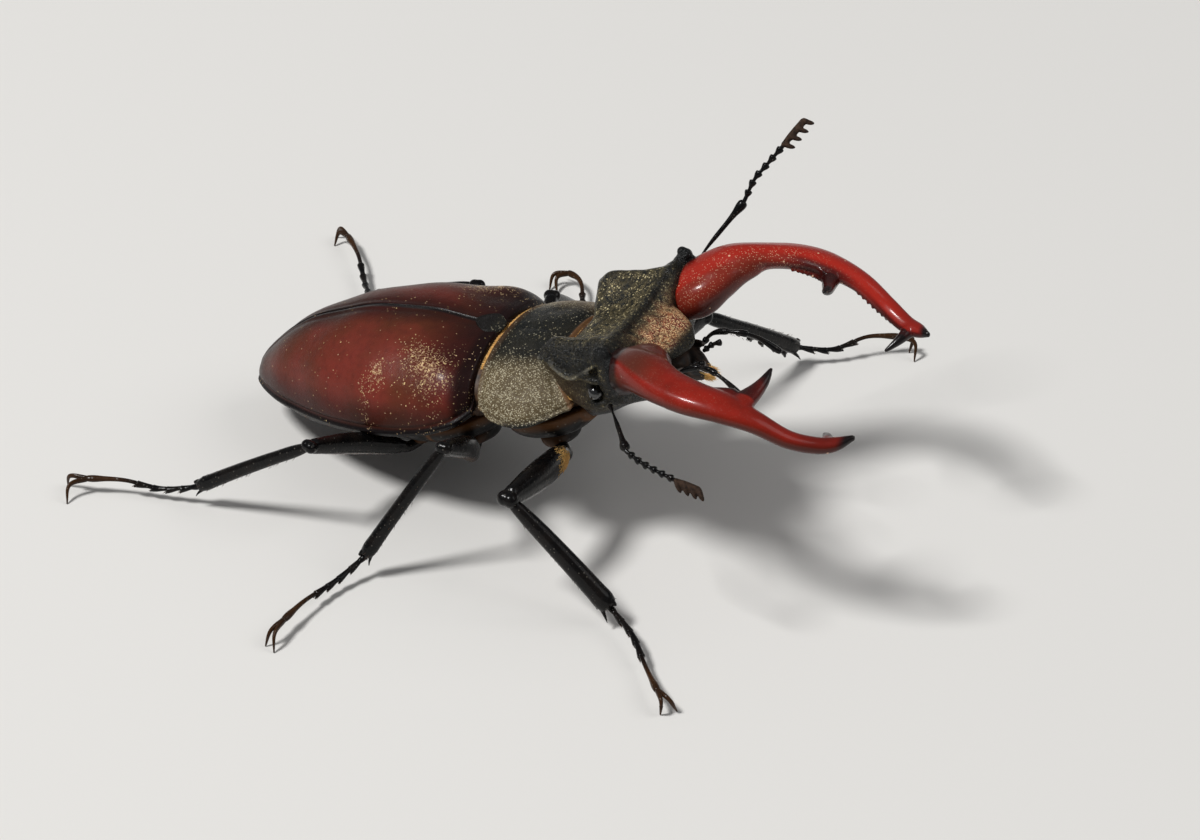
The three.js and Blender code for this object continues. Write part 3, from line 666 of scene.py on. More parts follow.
# %% [markdown]
# ## Wing cases
# Each wing case is a long dome from the shoulders to the pointed tail. A grid follows the same table
# as the solid: the height of the back, the half width and the height of the margin. The fine forms
# are raised along the surface's own normals: a bead beside the seam, a rolled rim with a groove
# inside it along the outer margin, and the soft knob of the shoulder.

# %% Wing cases
# x, height of the back, half width, height of the margin
WING_STATIONS = [
    [-26.6, -1.4, 0.5, -1.85], [-26.45, -1.0, 0.95, -1.9], [-26.1, -0.4, 1.5, -1.95],
    [-25.5, 0.3, 2.15, -2.0], [-23.4, 2.0, 3.9, -2.1], [-19.5, 3.9, 6.1, -2.3],
    [-15.5, 4.9, 7.9, -2.4], [-11.0, 5.3, 9.3, -2.4], [-6.5, 4.9, 10.0, -2.3],
    [-2.8, 4.0, 10.0, -1.9], [-0.6, 3.4, 9.3, -1.4], [0.2, 3.1, 8.5, -1.1],
]
WING_FULLNESS = 2.35
SEAM_HALF = 0.07
SIDES = ((1, "left"), (-1, "right"))
wing_sizes = smooth_table(WING_STATIONS)


def wing_case(side):
    rows, columns = 110, 84
    share = np.linspace(0, 1, rows) ** 1.25
    x = WING_STATIONS[0][0] + share * (WING_STATIONS[-1][0] - WING_STATIONS[0][0])
    top, half, margin = (column[:, None] for column in wing_sizes(x).T)
    angle = np.pi / 2 * (1 - np.linspace(0, 1, columns)) ** 1.3
    across, up = rounded(angle, WING_FULLNESS)
    y = SEAM_HALF + (half - SEAM_HALF) * across
    z = margin + (top - margin) * up
    back = np.stack([x[:, None] + 0 * y, y, z], axis=2)

    from_margin = np.linalg.norm(np.diff(back, axis=1, append=back[:, -1:]), axis=2)
    from_margin = np.cumsum(from_margin[:, ::-1], axis=1)[:, ::-1]
    heights = 0.16 * bump(from_margin - 0.2, 0.2) - 0.13 * bump(from_margin - 0.62, 0.22)
    heights += 0.06 * bump(y - 0.3, 0.18) - 0.06 * bump(y - 0.8, 0.3)
    heights += 0.3 * oval(back[..., 0], y, (-2.3, 7.1), (1.7, 1.5))
    heights -= 0.12 * oval(back[..., 0], y, (-2.0, 4.4), (2.2, 1.3))
    heights += 0.05 * np.sin(back[..., 0] * 0.9 + y * 0.5) * smoothstep(from_margin, 1.0, 3.0)
    back = raised(back, heights)
    back[..., 1] = np.maximum(back[..., 1], SEAM_HALF)

    turn = np.linspace(0, np.pi, 7)[1:]
    edge = back[:, -1]
    lip = np.stack([edge + [0, -0.16 * (1 - np.cos(a)), -0.2 * np.sin(a)] for a in turn], axis=1)
    inner = np.stack([edge * [1, 1 - s, 1] + [0, s * SEAM_HALF - 0.35 * (1 - s), -0.05]
                      for s in (0.15, 0.5, 1.0)], axis=1)
    rings = np.concatenate([back, lip, inner, back[:, :1]], axis=1)
    rings = domed_ends(rings, 0.15, 0.3)
    rings[..., 1] = np.maximum(rings[..., 1], SEAM_HALF) * side
    return skin(rings)


for side, name in SIDES:
    case = piece(f"wing_case_{name}", wing_case(side), "elytra", [f"elytron_{name}"])
    x, y, z = places(case).T
    y = np.abs(y)
    top, half, margin = wing_sizes(x).T
    edge = half - y
    low = smoothstep(margin + 2.6 - z, 0.0, 2.6)
    dark = np.maximum.reduce([
        1 - smoothstep(y, 0.2, 0.9) * 0.9,
        1 - smoothstep(edge + (z - margin) * 0.45, 0.15, 0.9),
        0.7 * (1 - smoothstep(edge + (z - margin) * 0.45, 0.4, 2.8)),
        smoothstep(x, -2.6, -0.4) * 0.95,
        0.85 * smoothstep(x, -8.0, -1.0) * (1 - 0.45 * smoothstep(y, 5.5, 8.5)),
        0.75 * (1 - smoothstep(y, 0.6, 3.6)),
        0.7 * smoothstep(-x, 22.0, 26.2),
    ])
    paint(case, "dark", dark)
    paint(case, "warm", 0.6 * low * smoothstep(x, -20.0, -9.0))
    # painted highlights: the glints gather where the lamp's highlight falls on the shoulder and behind it
    shoulder = 0.6 * oval(x, y, (-3.3, 7.3), (1.3, 1.3)) + 0.4 * oval(x, y, (-4.9, 6.1), (1.4, 1.1))
    behind = 0.65 * oval(x, y, (-8.6, 7.8), (0.7, 0.8)) + 0.3 * oval(x, y, (-10.0, 8.7), (0.3, 0.8))
    paint(case, "glint", 0.006 + shoulder + behind + 0.03 * smoothstep(x, -9, -3) * smoothstep(y, 3.0, 6.0))
    dress(case, "wing")

# %% [markdown]
# ## Scutellum
# Between the wing cases' bases sits the scutellum, a small plate like the blunt tip of a shield. It
# is half an ellipse with a rolled rim, so a ball's rings are squashed and drawn to a point behind.

# %% Scutellum
centre = np.array([-0.75, 0, 3.2])
plate = ball(centre, (1.0, 1.0, 1.0), 48, 28)
local = plate - centre
behind = smoothstep(-local[..., 0], -0.3, 1.0)
plate = centre + local * np.stack([1.35 + 0 * behind, 1.7 - 0.7 * behind, 0.42 + 0 * behind], axis=2)
plate[..., 2] -= 0.28 * (plate[..., 0] + 0.75)
plate[..., 2] += 0.1 * bump(np.linalg.norm(local[..., :2], axis=2) - 0.86, 0.1)
scutellum_plate = piece("scutellum_plate", skin(plate), "pronotum", ["scutellum"])
x, y, z = places(scutellum_plate).T
paint(scutellum_plate, "dust_and_sheen", 0.22 * smoothstep(x, -0.6, 0.2))
paint(scutellum_plate, "dark", 1 - 0.8 * smoothstep(x, -0.7, 0.1))
dress(scutellum_plate, "shield")

# %% [markdown]
# ## Neck shield
# The neck shield (pronotum) covers the first ring of the thorax. It is a wide, low arch with rounded
# flanks, its front corners reach forward beside the head, and all its edges are rolled. A shallow
# furrow runs down its middle, with a faint pit on either side.

# %% Neck shield
# share from back to front, height of the middle, half width, height of the margin
SHIELD_STATIONS = [
    [0.0, 2.6, 7.9, -0.6], [0.12, 2.8, 8.8, -1.1], [0.35, 3.0, 9.4, -1.7], [0.6, 3.0, 9.3, -1.8],
    [0.82, 2.7, 8.2, -1.5], [1.0, 2.1, 7.1, -1.1],
]
SHIELD = {"back": 0.75, "front": 7.6, "corners_forward": 2.2, "corners_back": 0.3, "floor": -2.1}
SHIELD_FULLNESS = 2.1
SHIELD_GIRTH, SHIELD_LENGTH = 27.0, 7.0


def shield_place(share, across, z, half):
    rear = SHIELD["back"] + SHIELD["corners_back"] * across**2
    fore = SHIELD["front"] + SHIELD["corners_forward"] * across**4
    return np.stack([rear + (fore - rear) * share, across * half, z + 0 * across], axis=2)


rows, columns = 74, 150
share = (1 - np.cos(np.linspace(0, np.pi, rows)))[:, None] / 2
top, half, margin = (column[:, None] for column in smooth_table(SHIELD_STATIONS)(share[:, 0]).T)
angle = np.linspace(0, np.pi, columns)
across, up = rounded(angle[None, :], SHIELD_FULLNESS)
arch = shield_place(share, across, margin + (top - margin) * up, half)
column = np.arange(columns)
from_side = np.minimum(column, column[::-1])[None, :] * SHIELD_GIRTH / columns
from_back, from_front = share * SHIELD_LENGTH, (1 - share) * SHIELD_LENGTH
rim = 0.14 * bump(from_side - 0.25, 0.25) - 0.08 * bump(from_side - 0.75, 0.25)
rim = rim + 0.12 * bump(from_back - 0.18, 0.18) - 0.08 * bump(from_back - 0.55, 0.22)
rim = rim + 0.1 * bump(from_front - 0.18, 0.18) - 0.08 * bump(from_front - 0.55, 0.25)
middle = arch[..., 1]
furrow = -0.16 * bump(middle, 0.5) * smoothstep(from_back, 0.8, 2.0) * smoothstep(from_front, 0.6, 2.0)
pits = -0.22 * oval(arch[..., 0], np.abs(middle), (4.6, 3.7), (0.9, 1.1))
pits = pits - 0.16 * oval(arch[..., 0], np.abs(middle), (5.2, 7.2), (0.8, 0.8))
arch = raised(arch, rim + furrow + pits)
under = shield_place(share, np.linspace(-0.86, 0.86, 14)[None, :], SHIELD["floor"] + 0 * share, half)
rings = np.concatenate([arch, under, arch[:, :1]], axis=1)
neck_shield = piece("neck_shield", skin(domed_ends(rings, 0.22, 0.22)), "pronotum", ["pronotum"])
x, y, z = places(neck_shield).T
flank = smoothstep(np.abs(y), 2.5, 7.0)
fore_line = rings[-1, :columns]
corners = np.stack([x, y, z], axis=1)
from_fore = np.array([np.sqrt(((fore_line - q) ** 2).sum(axis=1).min()) for q in corners])
patchy = 0.5 + 0.5 * np.sin(1.3 * x + 0.7 * np.abs(y)) * np.sin(0.9 * y + 0.5 * x)
# dust with painted highlight glitter, strongest on the flanks
paint(neck_shield, "dust_and_sheen", (0.05 + 0.74 * flank + 0.07 * patchy) * smoothstep(z, -1.9, -1.0))
brown_edges = 0.35 * bump(x - 0.9, 0.4) + 0.85 * smoothstep(-from_fore, -0.42, -0.22)
# painted shade in the two pits of the shield
in_pits = 0.35 * bump(np.abs(y) - 3.7, 1.2) * bump(x - 4.6, 1.2)
# brown front and back edges; the rise towards the left flank is a painted brown reflection
paint(neck_shield, "brown", brown_edges + 0.25 * smoothstep(y, 3.0, 8.0))
paint(neck_shield, "dark", np.maximum(0.85 * (1 - smoothstep(z, -2.0, -1.5)), in_pits))
dress(neck_shield, "shield")

# %% [markdown]
# ## Head
# The head carries the beetle's character, so it gets the finest skin. It is broader than the neck
# shield. Two crests run along its sides and swell into rounded lobes at the back, with a thin rolled
# rim, and a dusty hollow lies between them. A raised ridge crosses the front from corner to corner
# and ends in two black knobs, and from there the face falls steeply to the lip. The capsule, the
# face, the ridge, the knobs and the brow over each eye are drawn apart and melted together.

# %% Head capsule
# x, height of the middle, crest above it, rim height, half width at the rim, half width at the cheek
HEAD_STATIONS = [
    [8.5, 3.0, 1.5, 3.9, 6.9, 6.6], [9.4, 3.1, 2.0, 3.5, 7.6, 7.1], [10.3, 3.15, 2.05, 2.8, 7.95, 7.4],
    [11.2, 3.2, 1.9, 2.5, 8.1, 7.6], [12.0, 3.35, 1.75, 2.75, 8.1, 7.8], [13.0, 3.65, 1.55, 3.3, 8.1, 8.1],
    [14.2, 3.95, 1.35, 3.85, 8.2, 8.3], [15.0, 3.75, 1.6, 4.3, 8.45, 8.3], [15.6, 3.3, 1.5, 4.2, 8.4, 8.2],
]
head_sizes = smooth_table(HEAD_STATIONS)


def head_half(middle, crest, rim_height, rim_half, cheek_half, share):
    """Half a section, from the middle of the roof, over the rim and the cheek, to the underside."""
    peak = middle + crest
    inner, outer = (0, 0.15, 0.3, 0.42, 0.54, 0.66), (0.74, 0.82, 0.9, 0.96)
    roof = [(rim_half * a, middle + crest * float(smoothstep(a, 0.2, 0.8))) for a in inner]
    roof += [(rim_half * a, peak + (rim_height - peak) * ((a - 0.72) / 0.28) ** 2) for a in outer]
    rim = [(rim_half + 0.03, rim_height), (rim_half + 0.02, rim_height - 0.25),
           (rim_half - 0.35, rim_height - 0.55)]
    low = -3.55 + 0.95 * share
    tuck = 1.25 * float(smoothstep(share, 0.35, 0.9))
    cheek = [(0.5 * rim_half + 0.5 * cheek_half - 0.25, rim_height * 0.6 + 0.1), (cheek_half, 0.6),
             (cheek_half - 0.1 * tuck, -0.3 + 0.2 * tuck),
             (cheek_half * (0.9 - 0.04 * tuck), -1.7 + 0.8 * tuck),
             (4.9 - 0.3 * tuck, low + 0.25 + 0.45 * tuck), (3.2, low), (0, low)]
    return roof + rim + cheek


def head_capsule():
    rows, half_columns = 64, 100
    rings = []
    for share in np.linspace(0, 1, rows):
        rear, front = HEAD_STATIONS[0][0], HEAD_STATIONS[-1][0]
        x = rear + (front - rear) * share
        outline, _ = smooth_path([(y, z, 0) for y, z in head_half(*head_sizes(x)[0], share)])
        half = outline(np.linspace(0, 1, half_columns))[:, :2]
        both = np.concatenate([half, half[-2:0:-1] * [-1, 1], half[:1]])
        out = np.abs(both[:, 0])
        rear_line = 0.55 * bump(out, 4.2) - 0.85 * bump(out - 6.6, 1.7) * smoothstep(both[:, 1], 1.5, 3.5)
        tuck = 1.6 * smoothstep(-both[:, 1], -2.0, 2.5)
        rings.append(np.column_stack([x + (rear_line + tuck) * (1 - share) ** 1.5, both]))
    return skin(domed_ends(np.array(rings), 0.55, 0.3))


# x, half width, top, bottom
FACE_STATIONS = [
    [13.4, 4.9, 4.0, 0.6], [14.6, 4.8, 3.9, 0.5], [15.9, 4.1, 3.35, 0.5], [17.0, 3.4, 2.75, 0.5],
    [17.8, 2.7, 2.25, 0.6], [18.4, 1.9, 1.85, 0.7], [18.7, 1.2, 1.5, 0.8],
]


def face_wedge():
    """The sloping face and lip in front of the ridge."""
    x = np.linspace(FACE_STATIONS[0][0], FACE_STATIONS[-1][0], 40)
    half, top, bottom = (column[:, None] for column in smooth_table(FACE_STATIONS)(x).T)
    across, up = rounded(closed_ring(72)[None, :], 2.9)
    y, z = half * across, (top + bottom) / 2 + (top - bottom) / 2 * up
    z = z - 0.25 * bump(y, 1.4) * smoothstep(up, 0.2, 0.9) * smoothstep(x[:, None], 15.0, 17.0)
    return skin(domed_ends(np.stack([x[:, None] + 0 * y, y, z], axis=2), 0.3, 0.25))


FRONT_RIDGE = [
    (15.2, 8.4, 4.9), (14.75, 7.2, 4.95), (14.55, 5.6, 4.85),
    (14.3, 3.6, 4.45), (14.1, 1.6, 4.1), (14.0, 0, 3.98),
]
# the knob, its crown and its foot, the mount of the jaw, and the corner outside it
HEAD_BALLS = [
    ((15.4, 8.65, 5.15), (0.68, 0.66, 0.62)), ((15.1, 8.75, 5.5), (0.46, 0.48, 0.42)),
    ((15.0, 8.2, 4.55), (0.8, 0.8, 0.8)), ((15.1, 6.7, 2.3), (1.4, 2.45, 2.0)),
    ((15.75, 8.75, 3.1), (1.15, 0.95, 1.9)),
]
# the brow over the eye, the lid below it, the edge of the socket: points, half sizes, caps
HEAD_FOLDS = [
    ([(11.9, 7.7, 2.2), (12.9, 8.4, 2.75), (14.0, 8.8, 2.7), (15.2, 8.6, 2.5)], (0.5, 0.32), (0.8, 0.6)),
    ([(12.5, 8.0, 0.3), (13.4, 8.35, 0.0), (14.5, 8.4, 0.3)], (0.4, 0.3), (0.6, 0.6)),
    ([(15.2, 9.3, 1.2), (15.5, 9.0, 3.0), (15.6, 8.0, 4.3)], (0.3, 0.35), (0.4, 0.4)),
]


def steady(width, height):
    """The same half width and half height all along a sweep."""
    return lambda share: np.column_stack([width + 0 * share, height + 0 * share])


ridge_line = FRONT_RIDGE + [(x, -y, z) for x, y, z in FRONT_RIDGE[-2::-1]]
ridge_radii = lambda t: np.column_stack([0.55 + 0 * t, 0.26 + 0.1 * np.abs(t - 0.5)])
forms = [head_capsule(), face_wedge(), skin(tube(ridge_line, ridge_radii, caps=(0.4, 0.4)))]
for mirror in ([1, 1, 1], [1, -1, 1]):
    forms += [skin(ball(np.array(middle) * mirror, radii)) for middle, radii in HEAD_BALLS]
    forms += [skin(tube(np.array(points) * mirror, steady(*size), caps=caps))
              for points, size, caps in HEAD_FOLDS]
head_skin = piece("head_shell", melted(forms, 0.13, 3), "head", ["head", "clypeus"])

# %% [markdown]
# ## Sculpting the head
# With the forms fused, small moves of the corners add what the parts could not: a socket round each
# eye, the rolled rim round the back lobes, and the wrinkles of the dusty hollow. The same measures then
# paint the masks that the head's finish reads, with painted shade along the front ridge and under the
# rims, and a painted highlight along the rim.

# %% Head details and masks
EYE_BEAD = (13.4, 8.2, 1.2)
p = places(head_skin)
x, y, z = p.T
side_y = np.abs(y)
normals = np.empty(len(p) * 3)
head_skin.data.vertices.foreach_get("normal", normals)
turned = normals.reshape(-1, 3) @ np.array(TRUNK.inverted().to_3x3() * MM).T
middle, crest, rim_height, rim_half, cheek_half = head_sizes(x).T
rim_gap = np.hypot(side_y - rim_half - 0.02, z - rim_height + 0.1)
on_lobe = smoothstep(14.2 - x, 0, 1.2)
eye_gap = np.hypot(np.hypot(x - EYE_BEAD[0], side_y - EYE_BEAD[1]), z - EYE_BEAD[2])
wrinkle = np.sin(2.3 * x + 1.1 * side_y) * np.sin(1.7 * side_y - 0.8 * x) * smoothstep(z, 2.6, 3.4)
move = 0.1 * bump(rim_gap, 0.22) * on_lobe - 0.12 * bump(rim_gap - 0.55, 0.3) * on_lobe
move = move + 0.12 * bump(eye_gap - 1.0, 0.2) - 0.2 * bump(eye_gap, 0.6) + 0.04 * wrinkle
move = move - 0.16 * oval(x, side_y, (11.2, 3.6), (1.5, 1.4)) * (z > 2)
moved = (p + turned * move[:, None]) @ np.array(TRUNK.to_3x3()).T + np.array(TRUNK.translation)
head_skin.data.vertices.foreach_set("co", moved.ravel())
head_skin.data.update()

ridge_x = np.interp(side_y, *np.array(FRONT_RIDGE)[::-1, 1::-1].T)
ahead = x - ridge_x
roofward = smoothstep(turned[:, 2], 0.0, 0.5)
ragged = 0.45 * np.sin(3.1 * y + 1.3 * x) + 0.3 * np.sin(5.3 * y - 2.0 * x)
face = smoothstep(ahead + 0.5 * ragged, 0.4, 2.3) * smoothstep(z, 1.3, 2.3)
face = face * (1 - smoothstep(side_y + ragged, 2.6, 5.6)) * smoothstep(18.8 - x, 0.1, 1.0)
knob = np.minimum(1, 1.7 * bump(np.hypot(x - 15.35, np.hypot(side_y - 8.6, z - 5.1)), 1.2))
crease = bump(ahead - 0.45, 0.5) * smoothstep(z, 2.4, 3.4)
below_rim = smoothstep(rim_height - 0.3 - z, 0.0, 0.5) * smoothstep(side_y, 4.5, 6.5)
paint(head_skin, "face", face)
# besides the real black of knobs, ridge and crests, this mask paints shade along the front ridge (crease)
# and under the rims (below_rim)
paint(head_skin, "dark", (1 - face) * np.maximum.reduce([
    knob, 0.85 * crease, 0.45 * below_rim,
    0.7 * bump(eye_gap - 1.0, 0.5),
    smoothstep(-z, 0.5, 2.0),
    0.85 * smoothstep(side_y, 4.4, 6.0) * smoothstep(ahead, 0.2, 0.8),
    0.55 * smoothstep(ahead, 0.3, 0.9),
    0.85 * smoothstep(x, 13.6, 14.8) * smoothstep(3.6 - z, 0, 0.8),
    smoothstep(x, 15.2, 15.8) * smoothstep(side_y, 6.5, 7.5),
    0.9 * smoothstep(side_y, rim_half - 2.8, rim_half - 1.2) * roofward,
    0.75 * smoothstep(8.9 - x + 0.5 * ragged, 0, 1.6) * roofward]))
paint(head_skin, "brown", 0.45 * below_rim * smoothstep(12.9 - x, 0, 2.4) * smoothstep(z, -2.2, -0.4))
# painted highlight: a pale line along the rolled rim of the back lobes
paint(head_skin, "rim", 0.75 * bump(rim_gap, 0.13) * on_lobe)
dress(head_skin, "head")

# %% [markdown]
# ## Eyes
# The compound eyes are glossy black beads, low on the cheeks, that sit well into their sockets. A
# ball's rings, slightly flattened from the side, are enough, because the finish adds the facets.

# %% Eyes
for side, name in SIDES:
    bead = skin(ball(np.array(EYE_BEAD) * [1, side, 1], (0.72, 0.78, 0.7), 48, 32))
    dress(piece(f"eye_bead_{name}", bead, "eye", [f"eye_{name}"]), "eye")

# %% [markdown]
# ## Jaws
# A stag beetle's jaws are far longer than it needs for food: they are for wrestling. Each sweeps out
# and forward, carries one big tooth past its middle, forks at its tip, and has a row of small knobs
# on its inner edge. The shaft is a loft through the same table as the solid, a little keeled on its
# inner side. Teeth and knobs are tapered sweeps. All is melted into one horn.

# %% Jaws
# x, y, z of the middle, half width, half height
JAW_STATIONS = [
    [15.9, 6.9, 2.4, 2.4, 2.1], [17.6, 7.9, 3.2, 2.35, 1.95], [19.6, 9.5, 3.8, 2.2, 1.65],
    [22.2, 11.1, 3.45, 1.95, 1.2], [25.0, 11.9, 2.8, 1.85, 1.1], [27.7, 11.9, 1.9, 1.7, 1.0],
    [30.2, 11.7, 0.4, 1.2, 0.85], [32.4, 11.1, -1.6, 0.95, 0.75], [34.3, 10.1, -2.8, 0.85, 0.7],
    [35.7, 9.4, -3.1, 0.75, 0.6], [37.0, 8.6, -3.0, 0.25, 0.3],
]
jaw_sizes = smooth_table([[i / (len(JAW_STATIONS) - 1), *row] for i, row in enumerate(JAW_STATIONS)])


def jaw_frames(share, turn):
    """Middle, across, upright and half sizes of the jaw at shares of it; turn rolls it, in degrees."""
    row = jaw_sizes(share)
    along = jaw_sizes(np.minimum(share + 0.01, 1))[:, :3] - jaw_sizes(np.maximum(share - 0.01, 0))[:, :3]
    along /= np.linalg.norm(along, axis=1, keepdims=True)
    upright = np.array([0, 0, 1]) - along * along[:, 2:]
    upright /= np.linalg.norm(upright, axis=1, keepdims=True)
    across = np.cross(upright, along)
    roll = math.radians(turn) * smoothstep(share, 0.08, 0.25) * (1 - smoothstep(share, 0.5, 0.75))
    cosine, sine = np.cos(roll)[:, None], np.sin(roll)[:, None]
    return row[:, :3], across * cosine - upright * sine, upright * cosine + across * sine, row[:, 3:]


def spike(points, radius, tip=0.12, sides=20, steps=24):
    """A tapered tooth with a rounded tip, rooted in what it grows from."""
    radii = lambda t: np.column_stack([radius + (tip - radius) * t**1.15] * 2)
    return tube(points, radii, sides, steps, caps=(radius * 0.6, tip))


# roll in degrees, how far the root reaches back, and the big tooth's width, lean and web
JAW_SIDES = {
    "left": {"turn": 16, "back": 0.9, "root": 0.6, "lean": 0.65, "web": 0.12},
    "right": {"turn": 7, "back": 0.0, "root": 1.0, "lean": 0.0, "web": 0.85},
}
# where a row of small knobs starts and ends, how many, their radius, how deep they sit
KNOB_ROWS = ((0.38, 0.48, 6, 0.25, 0.0), (0.615, 0.75, 8, 0.22, 0.3))
KNOB_ASIDE, KNOB_BELOW = 0.87, 0.5
JAW_FULLNESS, JAW_ROOT_END = 2.15, 23.0


def jaw_forms(own):
    """The rings of one jaw's forms: shaft, swollen root, big tooth and its web, fork, knobs."""
    share = np.linspace(0, 1, 130)
    centre, across, upright, half = jaw_frames(share, own["turn"])
    cosine, sine = rounded(closed_ring(56), JAW_FULLNESS)
    keel = 1 - 0.22 * smoothstep(-cosine, 0.2, 1.0)
    crest = 0.1 * bump(np.arctan2(cosine, sine) - 0.63, 0.28)
    crest = 1 + crest * (1 - smoothstep(share, 0.3, 0.55))[:, None]
    slim = 1 - 0.16 * smoothstep(-sine, 0.0, 0.8) * bump(share - 0.22, 0.2)[:, None]
    ring = (centre[:, None] + across[:, None] * (half[:, :1] * cosine * crest)[..., None]
            + upright[:, None] * (half[:, 1:] * sine * keel * crest * slim)[..., None])
    yield domed_ends(ring, 0.35, 0.3)

    back, lean, root, web = own["back"], own["lean"], own["root"], own["web"]
    lobe = [(16.2 - back, 5.6, 2.1), (17.6, 5.6, 2.5), (19.0, 6.7, 3.1), (20.6, 8.9, 3.5), (22.2, 10.8, 3.4)]
    yield tube(lobe, [[0, 1.35, 1.75], [0.3, 1.5, 1.75], [0.6, 1.2, 1.2], [1, 0.9, 0.8]],
               28, 50, caps=(0.8, 1.0))
    core = [(16.3, 6.4, 2.3), (18.0, 6.8, 2.95), (20.2, 8.6, 3.5), (22.0, 10.2, 3.45)]
    yield tube(core, [[0, 2.0, 1.98], [0.4, 1.85, 1.75], [0.75, 1.35, 1.15], [1, 1.0, 0.8]],
               28, 40, caps=(0.9, 1.0))
    tooth = [(27.8, 11.9, 1.6), (29.0 - lean, 9.4, 1.6), (29.6 - lean, 7.8, 1.95), (29.95 - lean, 6.4, 2.55)]
    yield tube(tooth, [[0, 2.1 * root, 0.75], [0.3, 1.3 * root, 0.78], [0.6, 0.72 * root**0.5, 0.6],
                       [0.85, 0.38, 0.36], [1, 0.13, 0.13]], 28, 50, caps=(0.5, 0.13))
    yield tube([(24.6, 11.3, 2.7), (26.4, 10.6, 2.25), (28.2, 9.9, 1.7)],
               [[0, 0.6, 0.6], [0.5, web, 0.75], [1, web, 0.75]], 24, 30, caps=(0.6, 0.6))
    yield spike([(35.0, 9.7, -3.0), (34.5, 8.2, -3.25), (33.45, 6.85, -3.7)], 0.66, 0.16)

    aslant = np.hypot(KNOB_ASIDE, KNOB_BELOW)
    for start, end, count, size, depth in KNOB_ROWS:
        for i, u in enumerate(np.linspace(start, end, count)):
            middle, out, rise, half = (value[0] for value in jaw_frames(np.array([u]), own["turn"]))
            growth = i / (count - 1) if start < 0.5 else np.sin(np.pi * (0.25 + 0.6 * i / count))
            inside = (-KNOB_ASIDE * out - KNOB_BELOW * rise) / aslant
            edge = middle + inside / np.hypot(KNOB_ASIDE / half[0], KNOB_BELOW / half[1]) - inside * depth
            tip = edge + inside * (0.24 + 0.24 * growth)
            yield spike([edge - inside * 0.45, edge + inside * 0.12, tip], size, 0.17, 12, 10)


for side, name in SIDES:
    forms = [form * [1, side, 1] for form in jaw_forms(JAW_SIDES[name])]
    horn = melted([skin(form) for form in forms], 0.115, 2)
    to_trunk = TRUNK.inverted()
    root = [vert for vert in horn.verts if (to_trunk @ vert.co).x < JAW_ROOT_END]
    soften(horn, root, 22)
    jaw = piece(f"jaw_{name}", horn, "mandible", [f"mandible_{name}"])
    p = places(jaw) * [1, side, 1]
    shares = np.linspace(0, 1, 240)
    centre, across, upright, half = jaw_frames(shares, JAW_SIDES[name]["turn"])
    nearest = np.array([np.argmin(((centre - q) ** 2).sum(axis=1)) for q in p])
    away = p - centre[nearest]
    inward = -(away * across[nearest]).sum(axis=1) / half[nearest, 0]
    height = (away * upright[nearest]).sum(axis=1) / half[nearest, 1]
    u = shares[nearest]
    above_web = 1 - bump(u - 0.62, 0.05)
    tooth = np.maximum(smoothstep(inward, 1.5, 3.0), smoothstep(inward, 0.98, 1.12) * above_web)
    big = smoothstep(9.4 - p[:, 1], 0, 1.9) * (u > 0.5) * (u < 0.75)
    fork = smoothstep(9.0 - p[:, 1], 0, 0.8) * (u > 0.78)
    tip = smoothstep(p[:, 0], 35.6, 36.7)
    inner_edge = (smoothstep(inward, 0.55, 0.95) * smoothstep(u, 0.12, 0.3)
                  * (1 - 0.6 * bump(u - 0.62, 0.06)) * (1 - smoothstep(height, 0.35, 0.9)))
    x = p[:, 0]
    # the dark mask: black teeth, fork, tip, inner edge and root; the underside term and the near jaw's root
    # term are painted shade
    paint(jaw, "dark", np.maximum.reduce([
        0.95 * tooth * smoothstep(u, 0.36, 0.4), big, fork, tip,
        0.85 * inner_edge * smoothstep(u, 0.3, 0.45),
        0.5 * smoothstep(-height, 0.6, 1.1), 0.35 * smoothstep(u, 0.6, 0.85),
        0.65 * smoothstep(inward, 0.9, 1.5) * smoothstep(0.1 - height, -0.3, 0.5) * (u < 0.36),
        0.9 * smoothstep(15.95 - x, 0, 0.25),
        0.95 * smoothstep(17.0 - x, 0, 0.6) * smoothstep(-inward, -0.1, 0.5),
        0.95 * smoothstep(17.5 - x, 0, 0.7) * (name == "right")]))
    paint(jaw, "warm", 0.95 * smoothstep(-height, -0.85, 0.1) * smoothstep(-inward, -0.25, 0.5))
    # painted shade: the near jaw's root top and the crook are painted dull brown, the far jaw's root only a
    # little
    on_root = smoothstep(0.7 - np.arctan2(-inward, height), 0, 0.2) * smoothstep(23.5 - x, 0, 4.5)
    in_crook = smoothstep(inward, 0.6, 1.0) * smoothstep(0.4 - u, -0.1, 0.15)
    paint(jaw, "plum_shade", np.maximum((0.85 if name == "right" else 0.1) * on_root, 0.6 * in_crook))
    paint(jaw, "sunlit", (0.9 if name == "left" else 0.0) * smoothstep(height, -0.4, 0.3))
    on_top = smoothstep(height, -0.3, 0.5)
    # painted sheen: a pale speckled highlight along the lower inner edge, full on the far jaw; the rest of
    # the mask is real dust on the tops
    sheen_streak = (bump(inward - 0.72, 0.36) * smoothstep(u, 0.08, 0.16) * smoothstep(0.5 - u, 0, 0.16)
              * smoothstep(height, -0.9, -0.3))
    paint(jaw, "dust_and_sheen", (1.0 if name == "left" else 0.3) * np.maximum.reduce([
        0.22 * on_top * smoothstep(0.75 - u, 0, 0.4),
        0.6 * on_top * smoothstep(0.36 - u, 0, 0.16) * smoothstep(inward, 0.0, 0.6), 0.85 * sheen_streak]))
    dress(jaw, "jaw")

# %% [markdown]
# ## Mouth
# Under the face hang the mouthparts: a dark chin plate and the two lobes of the maxillae, which end
# in the orange brush that laps up sap. Beside them stand the palps, short jointed feelers. The lobes
# are melted sweeps. A palp is a row of small vases, each narrow at its root and round at its end.

